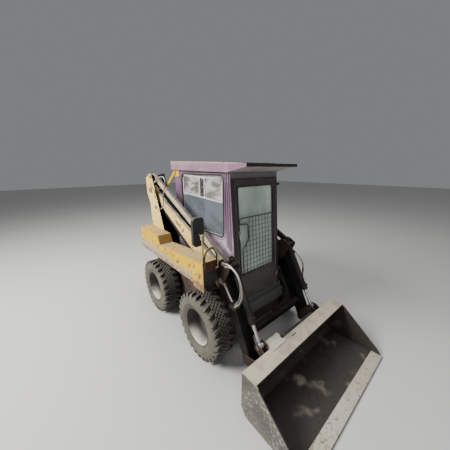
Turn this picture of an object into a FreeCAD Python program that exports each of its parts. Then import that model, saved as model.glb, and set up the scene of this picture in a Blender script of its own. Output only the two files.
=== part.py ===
# Skid steer loader with a bucket, levelling rods above its arms and an enclosed cab.
# Millimetres. X across the machine with its left side at +X, Y to the rear, Z up.
# The origin is on the floor, in the middle of the machine's length and width.
import FreeCAD, Part
import math
import os
import re
import Sketcher
from FreeCAD import Placement, Rotation, Vector

# Driving dimensions: name, size in millimetres (angles in degrees), meaning
DIMENSIONS = (
    ("axle_front_y", -193, "front axle"),
    ("axle_rear_y", 943, "rear axle"),
    ("axle_z", 380, "both axles above the floor"),
    ("tyre_radius", 380, "to the tips of the lugs"),
    ("lug_height", 24, "lug above the carcass"),
    ("lug_width", 40, "lug round the tyre"),
    ("lug_inner", 36, "inner end of a lug from the tyre's middle"),
    ("lug_outer", 116, "outer end of a lug's top from the tyre's middle"),
    ("lug_skew", 24, "inner end of a lug ahead of its outer end"),
    ("tyre_outer_x", 780, "outer side of a tyre from the middle"),
    ("tyre_width", 264, "tyre over its sidewalls"),
    ("tread_half", 108, "carcass crown, half"),
    ("belly_radius", 290, "widest place of the carcass"),
    ("bead_radius", 212, "tyre bead on the rim"),
    ("rim_wall", 8, "rim barrel"),
    ("rim_flange_radius", 231, "rim flange"),
    ("rim_half_width", 100, "between the rim flanges, half"),
    ("rim_flange_thick", 11, "rim flange"),
    ("disc_inset", 38, "wheel disc towards the machine from the tyre's middle"),
    ("disc_thick", 14, "wheel disc"),
    ("hub_radius", 72, "wheel hub"),
    ("hub_length", 70, "wheel hub"),
    ("stub_radius", 40, "axle stub"),
    ("running_gap", 0.05, "radial clearance of a running fit"),
    ("housing_radius", 88, "axle housing"),
    ("tub_half", 470, "chassis tub, outside"),
    ("tub_wall", 10, "chassis tub plates"),
    ("tub_front_y", -400, "front plate of the tub"),
    ("tub_rear_y", 1470, "rear plate of the tub"),
    ("tub_low_z", 205, "belly plate"),
    ("tub_front_z", 590, "top of the front plate"),
    ("deck_z", 800, "top of the side decks, over the tyres"),
    ("deck_thick", 20, "side deck"),
    ("deck_front_y", -250, "front end of the side decks"),
    ("deck_in", 385, "inner edge of the side decks"),
    ("deck_out", 600, "outer edge of the side decks"),
    ("beam_low_z", 380, "front cross beam"),
    ("beam_top_z", 520, "front cross beam"),
    ("beam_depth", 40, "front cross beam"),
    ("case_width", 130, "chain case"),
    ("case_top_z", 560, "chain case"),
    ("bumper_half", 560, "rear counterweight"),
    ("bumper_low_z", 300, "rear counterweight"),
    ("bumper_top_z", 475, "rear counterweight"),
    ("bumper_rear_y", 1575, "rear end of the machine"),
    ("fender_in", 600, "inner side of a fender"),
    ("fender_out", 780, "outer side of a fender"),
    ("sheet", 6, "fender sheet"),
    ("fender_front_y", -385, "front end of the right fender"),
    ("short_front_y", -90, "front end of the left fender, whose nose is missing"),
    ("short_front_z", 1183, "its top there"),
    ("fender_rear_y", 1240, "rear end of the fenders"),
    ("skirt_low_z", 947, "lower edge of the side skirt"),
    ("nose_low_z", 900, "lower edge of the deeper plate at the nose"),
    ("nose_width", 95, "deeper plate at the nose"),
    ("fender_front_z", 1206, "top at the nose"),
    ("fender_step_z", 1132, "top before the raised box"),
    ("step_y", 570, "foot of the raised box"),
    ("box_front_y", 625, "top edge of the raised box"),
    ("box_top_z", 1240, "top of the raised box"),
    ("boom_pin_y", 1182, "arm pivot on the tower"),
    ("boom_pin_z", 1770, "arm pivot on the tower"),
    ("tie_pin_y", 1150, "levelling rod pivot on the tower"),
    ("tie_pin_z", 1965, "levelling rod pivot on the tower"),
    ("knee_y", -385, "lever pivot on the arm"),
    ("knee_z", 958, "lever pivot on the arm"),
    ("hinge_y", -765, "bucket hinge on the arm's lower end"),
    ("hinge_z", 255, "bucket hinge on the arm's lower end"),
    ("tilt_rise_y", -95, "tilt pin from the bucket hinge"),
    ("tilt_rise_z", 175, "tilt pin from the bucket hinge"),
    ("lift_pin_y", 1030, "lift cylinder pivot on the tower"),
    ("lift_pin_z", 1540, "lift cylinder pivot on the tower"),
    ("lift_eye_y", -120, "lift rod eye under the arm"),
    ("lift_eye_z", 900, "lift rod eye under the arm"),
    ("pin_radius", 20, "pins of the linkage"),
    ("boom_pin_radius", 25, "arm pivot pin"),
    ("tow_radius", 16, "tow pin hole in the counterweight"),
    ("tower_front_y", 817, "front edge of a tower at the fender's top"),
    ("tower_rear_y", 1215, "rear edge of a tower at the fender's top"),
    ("tower_shoulder_y", 1315, "rear edge of a tower at the arm's pivot"),
    ("tower_top_z", 2000, "top of a tower"),
    ("tower_in", 400, "inner side of a tower"),
    ("tower_out", 600, "outer side of a tower"),
    ("tower_plate", 12, "tower plates"),
    ("arm_in", 438, "inner side of an arm"),
    ("arm_out", 550, "outer side of an arm"),
    ("tie_in", 508, "inner side of a levelling rod"),
    ("tie_out", 548, "outer side of a levelling rod"),
    ("tie_depth", 64, "levelling rod"),
    ("lever_in", 425, "inner side of a lever's inner plate"),
    ("lever_out", 565, "outer side of a lever's outer plate"),
    ("lever_plate_in", 10, "lever's inner plate"),
    ("lever_plate_out", 12, "lever's outer plate"),
    ("tilt_x", 472, "tilt cylinder's middle"),
    ("tilt_barrel_radius", 33, "tilt barrel"),
    ("tilt_barrel_length", 560, "tilt barrel from its pin"),
    ("tilt_rod_radius", 17, "tilt rod"),
    ("lift_barrel_radius", 44, "lift barrel"),
    ("lift_barrel_length", 860, "lift barrel from its pin"),
    ("lift_rod_radius", 25, "lift rod"),
    ("cross_radius", 44, "cross tube between the arms"),
    ("cab_half", 375, "cab over its side walls"),
    ("cab_wall", 30, "cab side walls"),
    ("cab_floor_z", 590, "underside of the cab floor"),
    ("cab_rear_y", 825, "rear of the cab"),
    ("door_y", -380, "door's outer face at the height door_ref_z"),
    ("door_ref_z", 1200, "height at which door_y is taken"),
    ("rake", 4.93, "lean of the door to the rear, degrees"),
    ("door_half", 325, "door"),
    ("door_gap", 6, "gap round the door"),
    ("door_low_z", 625, "door"),
    ("door_top_z", 1950, "door"),
    ("door_thick", 30, "door and front frame"),
    ("glass_half", 284, "door glass"),
    ("glass_low_z", 915, "door glass"),
    ("glass_top_z", 1890, "door glass"),
    ("glass_thick", 6, "panes"),
    ("eave_front_z", 2030, "top of the side walls at the front"),
    ("eave_rear_z", 2055, "top of the side walls at the rear"),
    ("roof_half", 402, "roof over its fascia"),
    ("roof_front_z", 2115, "top of the roof at the front"),
    ("roof_rear_z", 2170, "top of the roof at the rear"),
    ("roof_rear_y", 880, "rear of the roof"),
    ("visor_reach", 250, "visor in front of the cab"),
    ("visor_tip", 30, "thickness of the visor's tip"),
    ("window_front_y", -215, "side window opening"),
    ("window_rear_y", 640, "side window opening"),
    ("window_low_z", 1330, "side window opening"),
    ("window_top_z", 2005, "side window opening"),
    ("window_corner", 60, "corner radius of the window openings"),
    ("bucket_half", 800, "bucket over its sides"),
    ("bucket_back_y", -955, "bucket's back plate"),
    ("bucket_lip_y", -1575, "bucket's lip"),
    ("bucket_top_z", 437, "top of the bucket's back plate"),
    ("bucket_plate", 12, "bucket plates"),
    ("lip_plate_y", -1095, "front edge of the bucket's top plate"),
    ("ear_plate", 12, "bucket ears"),
    ("hood_top_z", 1262, "top of the engine cover"),
    ("hood_thick", 30, "engine cover"),
    ("rear_door_y", 1480, "inner face of the rear door"),
    ("rear_door_low_z", 490, "rear door"),
    ("rear_door_top_z", 1190, "rear door"),
    ("rear_door_half", 440, "rear door"),
    ("hinge_radius", 11, "hinge barrels of the doors"),
    ("hinge_length", 45, "one barrel of a door hinge"),
    ("door_hinge_x", 331, "hinge line of the cab door"),
    ("rear_hinge_x", 452, "hinge line of the rear door"),
    ("rear_hinge_y", 1519, "hinge line of the rear door"),
    ("cover_hinge_y", 846, "hinge line of the engine cover"),
    ("cover_hinge_z", 1272, "hinge line of the engine cover"),
    ("hoop_radius", 11, "grab hoop tube"),
    ("hoop_y", -394, "grab hoop on the fender's front"),
    ("hoop_in", 614, "inner leg of the grab hoop"),
    ("hoop_out", 765, "outer leg of the grab hoop"),
    ("hoop_foot_z", 1130, "foot of the grab hoop"),
    ("hoop_top_z", 1342, "top of the grab hoop"),
    ("mirror_x", -733, "mirror's middle"),
    ("mirror_y", -250, "mirror's middle"),
    ("mirror_z", 1477, "mirror's middle"),
    ("mirror_width", 125, "mirror"),
    ("mirror_height", 286, "mirror"),
    ("mirror_depth", 36, "mirror"),
    ("stem_x", -757, "mirror's stem"),
    ("stem_y", -364, "mirror's stem"),
    ("hose_radius", 8, "hydraulic hoses"),
    ("hose_x", 590, "hoses beside the arms' legs"),
    ("pipe_radius", 9, "steel pipes"),
    ("tower_hose_x", 572, "hose loop in front of a tower"),
    ("guard_y", -16, "middle of the mesh guard in front of the door's face"),
    ("guard_top_z", 357, "top of the mesh guard above the door's reference height"),
    ("guard_low_z", -283, "lower end of the mesh guard below that height"),
    ("guard_rim", 6, "radius of the mesh guard's rim"),
    ("guard_wire", 4, "wires of the mesh guard"),
    ("slider_bar", 18, "bars of the sliding window's frame"),
    ("slider_thick", 10, "sliding window's frame"),
    ("gap_front_y", 147, "front side of the gap between the sliding panes"),
    ("gap_rear_y", 226, "rear side of the gap between the sliding panes"),
)

doc = FreeCAD.newDocument("loader")
sheet = doc.addObject("Spreadsheet::Sheet", "Dims")
for row, (name, size, meaning) in enumerate(DIMENSIONS, start=1):
    sheet.set("A%d" % row, meaning)
    sheet.set("B%d" % row, str(size))
    sheet.setAlias("B%d" % row, name)
doc.recompute()
DIM = {name: float(sheet.get(name)) for name, size, meaning in DIMENSIONS}
nodes = []


def number(formula):
    """The value of a sum of terms such as 'arm_out - 2*sheet'."""
    total = 0.0
    sign = 1.0
    for word in formula.replace("-", " - ").replace("+", " + ").split():
        if word in ("+", "-"):
            sign = -1.0 if word == "-" else 1.0
            continue
        term = sign
        for factor in word.split("*"):
            term *= DIM[factor] if factor in DIM else float(factor)
        total += term
        sign = 1.0
    return total


def bound(formula):
    """The same sum as an expression on the sheet's cells."""
    return re.sub(r"[a-z]\w*", lambda word: "Dims." + word.group(), formula)


def place(item, corner):
    """Bind an object's place to the sheet."""
    for axis, formula in zip("xyz", corner):
        item.setExpression(".Placement.Base." + axis, bound(formula))


def box(name, low, high):
    """A block between two corners, each three formulas."""
    item = doc.addObject("Part::Box", name)
    for size, start, end in zip(("Length", "Width", "Height"), low, high):
        item.setExpression(size, "%s - (%s)" % (bound(end), bound(start)))
    place(item, low)
    return item


def rod(name, radius, start, end):
    """A round bar between two points, each three formulas."""
    a = Vector(*[number(formula) for formula in start])
    b = Vector(*[number(formula) for formula in end])
    item = doc.addObject("Part::Cylinder", name)
    item.setExpression("Radius", bound(radius))
    item.Height = (b - a).Length
    item.Placement = Placement(a, Rotation(Vector(0, 0, 1), b - a))
    return item


def pin(name, radius, x_low, x_high, y, z):
    """A round bar across the machine."""
    return rod(name, radius, (x_low, y, z), (x_high, y, z))


def knuckle(name, x, y, low, high):
    """An upright hinge barrel."""
    return rod(name, "hinge_radius", (x, y, low), (x, y, high))


def plate(name, outline, x_low, x_high, holes=()):
    """A plate across X from an outline of (y, z) formulas, with round holes (y, z, radius)."""
    body = doc.addObject("PartDesign::Body", name)
    sketch = body.newObject("Sketcher::SketchObject", name + "_sketch")
    plane = [f for f in body.Origin.OriginFeatures if f.Role == "YZ_Plane"][0]
    sketch.AttachmentSupport = [(plane, "")]
    sketch.MapMode = "FlatFace"
    corners = [Vector(number(y), number(z), 0) for y, z in outline]
    count = len(corners)
    for index in range(count):
        sketch.addGeometry(Part.LineSegment(corners[index], corners[(index + 1) % count]), False)
    for index in range(count):
        sketch.addConstraint(Sketcher.Constraint("Coincident", index, 2, (index + 1) % count, 1))
    for index, (y, z) in enumerate(outline):
        for kind, formula in (("DistanceX", y), ("DistanceY", z)):
            sketch.addConstraint(Sketcher.Constraint(kind, -1, 1, index, 1, number(formula)))
            sketch.setExpression("Constraints[%d]" % (sketch.ConstraintCount - 1), bound(formula))
    for y, z, radius in holes:
        centre = Vector(number(y), number(z), 0)
        circle = sketch.addGeometry(Part.Circle(centre, Vector(0, 0, 1), number(radius)), False)
        for kind, formula in (("DistanceX", y), ("DistanceY", z)):
            sketch.addConstraint(Sketcher.Constraint(kind, -1, 1, circle, 3, number(formula)))
            sketch.setExpression("Constraints[%d]" % (sketch.ConstraintCount - 1), bound(formula))
        sketch.addConstraint(Sketcher.Constraint("Radius", circle, number(radius)))
        sketch.setExpression("Constraints[%d]" % (sketch.ConstraintCount - 1), bound(radius))
    pad = body.newObject("PartDesign::Pad", name + "_pad")
    pad.Profile = sketch
    pad.setExpression("Length", "%s - (%s)" % (bound(x_high), bound(x_low)))
    body.setExpression(".Placement.Base.x", bound(x_low))
    return body


def fuse(name, items):
    """One solid of touching or overlapping items."""
    item = doc.addObject("Part::MultiFuse", name)
    item.Shapes = list(items)
    item.Refine = True
    return item


def cut(name, base, tools):
    """A base with one or more tools taken away."""
    tool = tools[0] if len(tools) == 1 else fuse(name + "_tools", tools)
    item = doc.addObject("Part::Cut", name)
    item.Base = base
    item.Tool = tool
    item.Refine = True
    return item


def mirrored(name, item):
    """The same piece on the other side of the machine."""
    twin = doc.addObject("Part::Mirroring", name)
    twin.Source = item
    twin.Base = Vector(0, 0, 0)
    twin.Normal = Vector(1, 0, 0)
    return twin


def hose(name, radius, points, longest=200):
    """A bent tube through (x, y, z) formulas: straight runs and arcs that cut its corners by up to longest."""
    corners = [Vector(*[number(formula) for formula in point]) for point in points]
    pieces = []
    here = corners[0]
    for before, corner, after in zip(corners, corners[1:], corners[2:]):
        back = (before - corner).normalize()
        ahead = (after - corner).normalize()
        reach = min(longest, 0.45 * (before - corner).Length, 0.45 * (after - corner).Length)
        half_turn = 0.5 * (math.pi - back.getAngle(ahead))
        centre = corner + (back + ahead).normalize() * (reach / math.sin(half_turn))
        first = corner + back * reach
        run = Part.Face(Part.Wire([Part.makeCircle(number(radius), here, back)]))
        turn = Part.Face(Part.Wire([Part.makeCircle(number(radius), first, back)]))
        pieces.append(run.extrude(first - here))
        pieces.append(turn.revolve(centre, ahead.cross(back), math.degrees(2 * half_turn)))
        here = corner + ahead * reach
    end = Part.Face(Part.Wire([Part.makeCircle(number(radius), here, corners[-1] - here)]))
    pieces.append(end.extrude(corners[-1] - here))
    item = doc.addObject("Part::Feature", name)
    item.Shape = pieces[0].multiFuse(pieces[1:]).removeSplitter()
    return item


def node(label, item):
    """Keep an object as a sub-part of its own."""
    item.Label = label
    nodes.append((label, item))
    return item


def both_sides(label, left):
    """A sub-part on each side, as two nodes."""
    node(label + "_left", left)
    node(label + "_right", mirrored(label + "_mirror", left))


def pair(label, left):
    """A sub-part on each side, as one node of two separate solids."""
    right = mirrored(label + "_mirror", left)
    item = doc.addObject("Part::Compound", label + "_pair")
    item.Links = [left, right]
    node(label, item)


def band(points, thickness):
    """An outline of the given (y, z) points and of the same points set lower by thickness."""
    lower = [(y, z + " - " + thickness) for y, z in reversed(points)]
    return list(points) + lower


# Wheels: a rim with a deep dish and a tyre with a ring of lugs at each shoulder
TYRE_FACETS = 27
carcass_section = (
    ("rim_half_width - 11.5", "bead_radius + 0.2"), ("tyre_width*0.5 - 2", "belly_radius"),
    ("tread_half", "tyre_radius - lug_height"), ("-tread_half", "tyre_radius - lug_height"),
    ("-tyre_width*0.5 + 2", "belly_radius"), ("-rim_half_width + 11.5", "bead_radius + 0.2"),
)


def carcass():
    """The tyre's casing, turned in flat facets about X, one facet for each lug."""
    step = 2 * math.pi / TYRE_FACETS
    grow = 1 / math.cos(0.5 * step)
    outline = [(number(across), grow * number(radius)) for across, radius in carcass_section]
    rings = []
    for facet in range(TYRE_FACETS):
        turn = (facet + 0.5) * step
        rings.append([Vector(across, radius * math.sin(turn), radius * math.cos(turn))
                      for across, radius in outline])
    faces = []
    for here, there in zip(rings, rings[1:] + rings[:1]):
        for index in range(len(outline)):
            loop = [here[index - 1], here[index], there[index], there[index - 1]]
            faces.append(Part.Face(Part.makePolygon(loop + loop[:1])))
    return Part.Solid(Part.Shell(faces))


def lug(side):
    """A slanted lug at the top of the tyre, from its crown over one shoulder."""
    half_width = 0.5 * DIM["lug_width"]
    middle = 0.5 * (DIM["lug_inner"] + DIM["lug_outer"])
    slant = DIM["lug_skew"] / (DIM["lug_outer"] - DIM["lug_inner"])
    reach = half_width + 0.5 * DIM["lug_skew"]
    top = math.sqrt(DIM["tyre_radius"] ** 2 - reach ** 2)
    root = DIM["tyre_radius"] - DIM["lug_height"] - 6
    corners = []
    for across, radius in ((DIM["lug_inner"], root), (DIM["lug_inner"], top), (DIM["lug_outer"], top),
                           (DIM["tread_half"] + 16, DIM["belly_radius"] + 4), (DIM["tread_half"] - 8, root)):
        corners.append(Vector(side * across, slant * (middle - across) - half_width, radius))
    return Part.Face(Part.makePolygon(corners + corners[:1])).extrude(Vector(0, DIM["lug_width"], 0))


def lugged_tyre():
    """The casing with its lugs, those of one shoulder half a pitch behind the other's."""
    lugs = []
    for facet in range(TYRE_FACETS):
        for side, shift in ((1, 0), (-1, 0.5)):
            one = lug(side)
            one.rotate(Vector(0, 0, 0), Vector(1, 0, 0), 360 * (facet + shift) / TYRE_FACETS)
            lugs.append(one)
    return carcass().multiFuse(lugs)


TYRE_SHAPE = lugged_tyre()


def tyre(name, x, y):
    """A tyre about an axle."""
    item = doc.addObject("Part::Feature", name)
    item.Shape = TYRE_SHAPE
    item.Placement = Placement(Vector(x, y, DIM["axle_z"]), Rotation())
    return item


def revolved(name, section, x, y):
    """A ring about an axle from (across, radius) points, across counted towards +X from x."""
    corners = [Vector(0, across, radius) for across, radius in section]
    turned = [Vector(point.y, 0, point.z) for point in corners]
    face = Part.Face(Part.makePolygon(turned + turned[:1]))
    item = doc.addObject("Part::Feature", name)
    item.Shape = face.revolve(Vector(0, 0, 0), Vector(1, 0, 0), 360)
    item.Placement = Placement(Vector(x, y, DIM["axle_z"]), Rotation())
    return item


def wheel(place_name, side, axle_y):
    """A tyre and its rim; side is +1 on the machine's left."""
    middle = side * number("tyre_outer_x - 0.5*tyre_width")
    node("tyre_" + place_name, tyre("tyre_%s_solid" % place_name, middle, axle_y))
    half = DIM["rim_half_width"]
    edge = half + DIM["rim_flange_thick"]
    bead = DIM["bead_radius"]
    inner = bead - DIM["rim_wall"]
    flange = DIM["rim_flange_radius"]
    disc_in = -side * (DIM["disc_inset"] + DIM["disc_thick"])
    disc_out = -side * DIM["disc_inset"]
    barrel = ((-edge, inner), (-edge, flange), (-half, flange), (-half, bead),
              (half, bead), (half, flange), (edge, flange), (edge, inner))
    bore = DIM["stub_radius"] + DIM["running_gap"]
    disc = ((disc_in, bore), (disc_in, inner), (disc_out, inner), (disc_out, bore))
    hub_end = disc_out - side * DIM["hub_length"]
    hub = ((hub_end, bore), (hub_end, DIM["hub_radius"]), (disc_out, DIM["hub_radius"]), (disc_out, bore))
    rings = [revolved("rim_%s_%s" % (place_name, part), section, middle, axle_y)
             for part, section in (("barrel", barrel), ("disc", disc), ("hub", hub))]
    node("rim_" + place_name, fuse("rim_%s_solid" % place_name, rings))


for place_name, side, axle_y in (
        ("front_left", 1, "axle_front_y"), ("front_right", -1, "axle_front_y"),
        ("rear_left", 1, "axle_rear_y"), ("rear_right", -1, "axle_rear_y")):
    wheel(place_name, side, DIM[axle_y])

# Chassis tub: belly, sides and ends, the front cross beam and the side decks over the tyres
tub_outline = [
    ("tub_front_y", "tub_low_z"), ("tub_rear_y", "tub_low_z"), ("tub_rear_y", "deck_z - deck_thick"),
    ("deck_front_y", "deck_z - deck_thick"), ("deck_front_y - 60", "tub_front_z"), ("tub_front_y", "tub_front_z"),
]
belly = box("belly", ("-tub_half + tub_wall", "tub_front_y", "tub_low_z"),
            ("tub_half - tub_wall", "tub_rear_y", "tub_low_z + tub_wall"))
front_plate = box("front_plate", ("-tub_half + tub_wall", "tub_front_y", "tub_low_z"),
                  ("tub_half - tub_wall", "tub_front_y + tub_wall", "tub_front_z"))
rear_plate = box("rear_plate", ("-tub_half + tub_wall", "tub_rear_y - tub_wall", "tub_low_z"),
                 ("tub_half - tub_wall", "tub_rear_y", "bumper_top_z"))
cross_beam = box("cross_beam", ("-tub_half", "tub_front_y - beam_depth", "beam_low_z"),
                 ("tub_half", "tub_front_y", "beam_top_z"))
sides = []
for side_name, x_low, x_high in (("left", "tub_half - tub_wall", "tub_half"),
                                 ("right", "-tub_half", "-tub_half + tub_wall")):
    sides.append(plate("tub_side_" + side_name, tub_outline, x_low, x_high))
for side_name, x_low, x_high in (("left", "deck_in", "deck_out"), ("right", "-deck_out", "-deck_in")):
    sides.append(box("deck_" + side_name, (x_low, "deck_front_y", "deck_z - deck_thick"),
                     (x_high, "tub_rear_y", "deck_z")))
node("chassis", fuse("chassis_solid", [belly, front_plate, rear_plate, cross_beam] + sides))

# Chain cases inside the tub, and the axle housings with their stubs outside it
pair("chain_cases", box("case_block", ("tub_half - tub_wall - case_width", "tub_front_y + 20", "tub_low_z + tub_wall"),
                        ("tub_half - tub_wall", "tub_rear_y - 120", "case_top_z")))
stubs = []
for axle_name, axle_y in (("front", "axle_front_y"), ("rear", "axle_rear_y")):
    housing = pin("housing_" + axle_name, "housing_radius", "tub_half", "tub_half + 50", axle_y, "axle_z")
    stub = pin("stub_" + axle_name, "stub_radius", "tub_half", "tyre_outer_x - 178", axle_y, "axle_z")
    stubs.append(fuse("axle_solid_" + axle_name, [housing, stub]))
for axle_name, solid in zip(("front", "rear"), stubs):
    pair("axle_" + axle_name, solid)

# Engine as one plain block, and the counterweight with its tow pin hole
node("engine", box("engine_block", ("-230", "890", "tub_low_z + tub_wall"), ("230", "1340", "1010")))
weight = box("weight_block", ("-bumper_half", "tub_rear_y", "bumper_low_z"),
             ("bumper_half", "bumper_rear_y", "bumper_top_z"))
tow_hole = rod("tow_hole", "tow_radius", ("0", "bumper_rear_y - 45", "bumper_low_z - 5"),
               ("0", "bumper_rear_y - 45", "bumper_top_z + 5"))
node("counterweight", cut("weight_solid", weight, [tow_hole]))

# Fenders: sheet boxes open below and in front, each with a raised box at its rear. The left
# one has lost its nose; the right one has a deeper plate there and a grab hoop.


def fender(side, front, lower_front, foot):
    """A fender at +X from its front top corner, the low edge of its front and of its inner wall."""
    top = [front, ("step_y", "fender_step_z"), ("box_front_y", "box_top_z"), ("fender_rear_y - 40", "box_top_z + 10")]
    rear_edge = [("fender_rear_y", "skirt_low_z"), ("fender_rear_y - sheet", "skirt_low_z")]
    return [
        plate("fender_top_" + side, band(top, "sheet"), "fender_in", "fender_out"),
        plate("fender_skirt_" + side, top + [("fender_rear_y", "skirt_low_z")] + lower_front,
              "fender_out - sheet", "fender_out"),
        plate("fender_inner_" + side, top + [("fender_rear_y - 20", "deck_z - deck_thick")] + foot,
              "fender_in", "fender_in + sheet"),
        plate("fender_rear_" + side, [("fender_rear_y - 40", "box_top_z + 10")] + rear_edge
              + [("fender_rear_y - 46", "box_top_z + 10")], "fender_in", "fender_out"),
        box("fender_flange_" + side, ("fender_in", front[0], front[1] + " - 105"),
            ("fender_out", front[0] + " + sheet", front[1] + " - sheet")),
    ]


hoop = hose("grab_hoop", "hoop_radius", [
    ("hoop_out", "hoop_y", "hoop_foot_z"), ("hoop_out", "hoop_y", "hoop_top_z - 62"),
    ("hoop_out - 44", "hoop_y", "hoop_top_z"), ("hoop_in + 44", "hoop_y", "hoop_top_z"),
    ("hoop_in", "hoop_y", "hoop_top_z - 62"), ("hoop_in", "hoop_y", "hoop_foot_z")])
hoop_foot = box("hoop_foot", ("hoop_in - 12", "fender_front_y - 20", "hoop_foot_z - 6"),
                ("hoop_in + 26", "fender_front_y", "hoop_foot_z + 6"))
nosed = fender("nosed", ("fender_front_y", "fender_front_z"), [
    ("fender_front_y + nose_width", "skirt_low_z"), ("fender_front_y + nose_width", "nose_low_z"),
    ("fender_front_y", "nose_low_z")],
    [("deck_front_y", "deck_z - deck_thick"), ("fender_front_y", "nose_low_z + 100")])
short = fender("short", ("short_front_y", "short_front_z"), [("short_front_y", "skirt_low_z")],
               [("short_front_y", "deck_z - deck_thick")])
node("fender_left", fuse("fender_left_solid", short))
node("fender_right", mirrored("fender_mirror", fuse("fender_right_solid", nosed + [hoop, hoop_foot])))

# Mirror on the right fender: a rounded shell on an upright stem
mirror_block = box("mirror_block", (
    "mirror_x - 0.5*mirror_width", "mirror_y - 0.5*mirror_depth", "mirror_z - 0.5*mirror_height"), (
    "mirror_x + 0.5*mirror_width", "mirror_y + 0.5*mirror_depth", "mirror_z + 0.5*mirror_height"))
doc.recompute()
mirror_shell = doc.addObject("Part::Fillet", "mirror_shell")
mirror_shell.Base = mirror_block
mirror_shell.Edges = [(index + 1, 38, 38) for index, edge in enumerate(mirror_block.Shape.Edges)
                      if abs(edge.tangentAt(edge.FirstParameter).y) > 0.9]
stem_post = rod("stem_post", "9", ("stem_x", "stem_y", "fender_front_z"), ("stem_x", "stem_y", "1462"))
stem_arm = rod("stem_arm", "9", ("stem_x", "stem_y", "1455"), ("mirror_x", "mirror_y", "1462"))
stem_foot = rod("stem_foot", "13", ("stem_x", "stem_y", "fender_front_z"),
                ("stem_x", "stem_y", "fender_front_z + 10"))
stem_clamp = box("stem_clamp", ("stem_x - 14", "stem_y - 14", "1430"), ("stem_x + 14", "stem_y + 14", "1478"))
node("mirror", fuse("mirror_solid", [mirror_shell, stem_post, stem_arm, stem_foot, stem_clamp]))

# Towers: two plates and a rear web on the deck, with the pins of arm, rod and lift cylinder
tower_rear = [
    ("tower_rear_y + 30", "deck_z"), ("tower_rear_y", "box_top_z"), ("tower_rear_y + 10", "1570"),
    ("tower_shoulder_y", "1724"), ("tower_shoulder_y", "1940"),
]
tower_front = [
    ("tie_pin_y + 40", "tower_top_z"), ("tie_pin_y - 40", "tower_top_z"), ("tower_front_y + 280", "1970"),
    ("tower_front_y", "box_top_z"), ("tower_front_y - 50", "deck_z"),
]
tower_parts = []
for part, x_low, x_high in (("outer", "tower_out - tower_plate", "tower_out"),
                            ("inner", "tower_in", "tower_in + tower_plate")):
    tower_parts.append(plate("tower_" + part, tower_rear + tower_front, x_low, x_high))
web = [(y + " - tower_plate", z) for y, z in reversed(tower_rear)]
tower_parts.append(plate("tower_web", tower_rear + web, "tower_in", "tower_out"))
for part, radius, y, z in (("boom_pin", "boom_pin_radius", "boom_pin_y", "boom_pin_z"),
                           ("tie_pin", "pin_radius", "tie_pin_y", "tie_pin_z"),
                           ("lift_pin", "pin_radius", "lift_pin_y", "lift_pin_z")):
    tower_parts.append(pin(part, radius, "tower_in", "tower_out", y, z))
tower_parts.append(plate("tower_lug", [
    ("tower_shoulder_y - 53", "1653"), ("tower_shoulder_y + 25", "1660"), ("tower_shoulder_y + 25", "1700"),
    ("tower_shoulder_y - 20", "1708")], "tower_out - 60", "tower_out - 20"))
both_sides("tower", fuse("tower_solid", tower_parts))

# Arms: a beam from the tower to the knee and a leg down to the bucket
arm_outline = [
    ("1161", "1810"), ("822", "1621"), ("153", "1321"), ("-372", "1086"), ("-430", "1033"), ("-451", "994"),
    ("-593", "731"), ("-737", "433"), ("-809", "279"), ("-721", "231"), ("-483", "671"), ("-400", "802"),
    ("-300", "862"), ("-93", "983"), ("880", "1521"), ("1214", "1708"),
]
arm_beam = plate("arm_beam", arm_outline, "arm_in", "arm_out")
arm_rear_boss = pin("arm_rear_boss", "70", "arm_in", "arm_out", "boom_pin_y", "boom_pin_z")
arm_foot_boss = pin("arm_foot_boss", "52", "arm_in", "arm_out", "hinge_y", "hinge_z")
lift_ears = []
for part, x_low in (("in", "arm_in + 12"), ("out", "arm_out - 24")):
    lift_ears.append(plate("lift_ear_" + part, [
        ("lift_eye_y - 75", "lift_eye_z + 45"), ("lift_eye_y - 30", "lift_eye_z - 35"),
        ("lift_eye_y + 20", "lift_eye_z - 35"), ("lift_eye_y + 90", "lift_eye_z + 105")],
        x_low, x_low + " + 12"))
arm_bores = [
    pin("arm_rear_bore", "boom_pin_radius + running_gap", "arm_in - 1", "arm_out + 1", "boom_pin_y", "boom_pin_z"),
    pin("arm_knee_bore", "boom_pin_radius + running_gap", "arm_in - 1", "arm_out + 1", "knee_y", "knee_z"),
    pin("arm_foot_bore", "boom_pin_radius + running_gap", "arm_in - 1", "arm_out + 1", "hinge_y", "hinge_z"),
]
arm_whole = fuse("arm_whole", [arm_beam, arm_rear_boss, arm_foot_boss] + lift_ears)
both_sides("arm", cut("arm_solid", arm_whole, arm_bores))
node("arm_cross_tube", pin("cross_tube", "cross_radius", "-arm_in", "arm_in", "hinge_y + 95", "hinge_z + 176"))


def link(name, start, end, x_low, x_high, depth):
    """A flat bar between two (y, z) pins, between two planes across the machine."""
    a = Vector(0, number(start[0]), number(start[1]))
    b = Vector(0, number(end[0]), number(end[1]))
    item = doc.addObject("Part::Box", name)
    item.setExpression("Length", "%s - (%s)" % (bound(x_high), bound(x_low)))
    item.Width = (b - a).Length
    item.setExpression("Height", bound(depth))
    turn = Rotation(Vector(0, 1, 0), b - a)
    sink = turn.multVec(Vector(0, 0, -0.5 * number(depth)))
    item.Placement = Placement(a + sink + Vector(number(x_low), 0, 0), turn)
    return item


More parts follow.
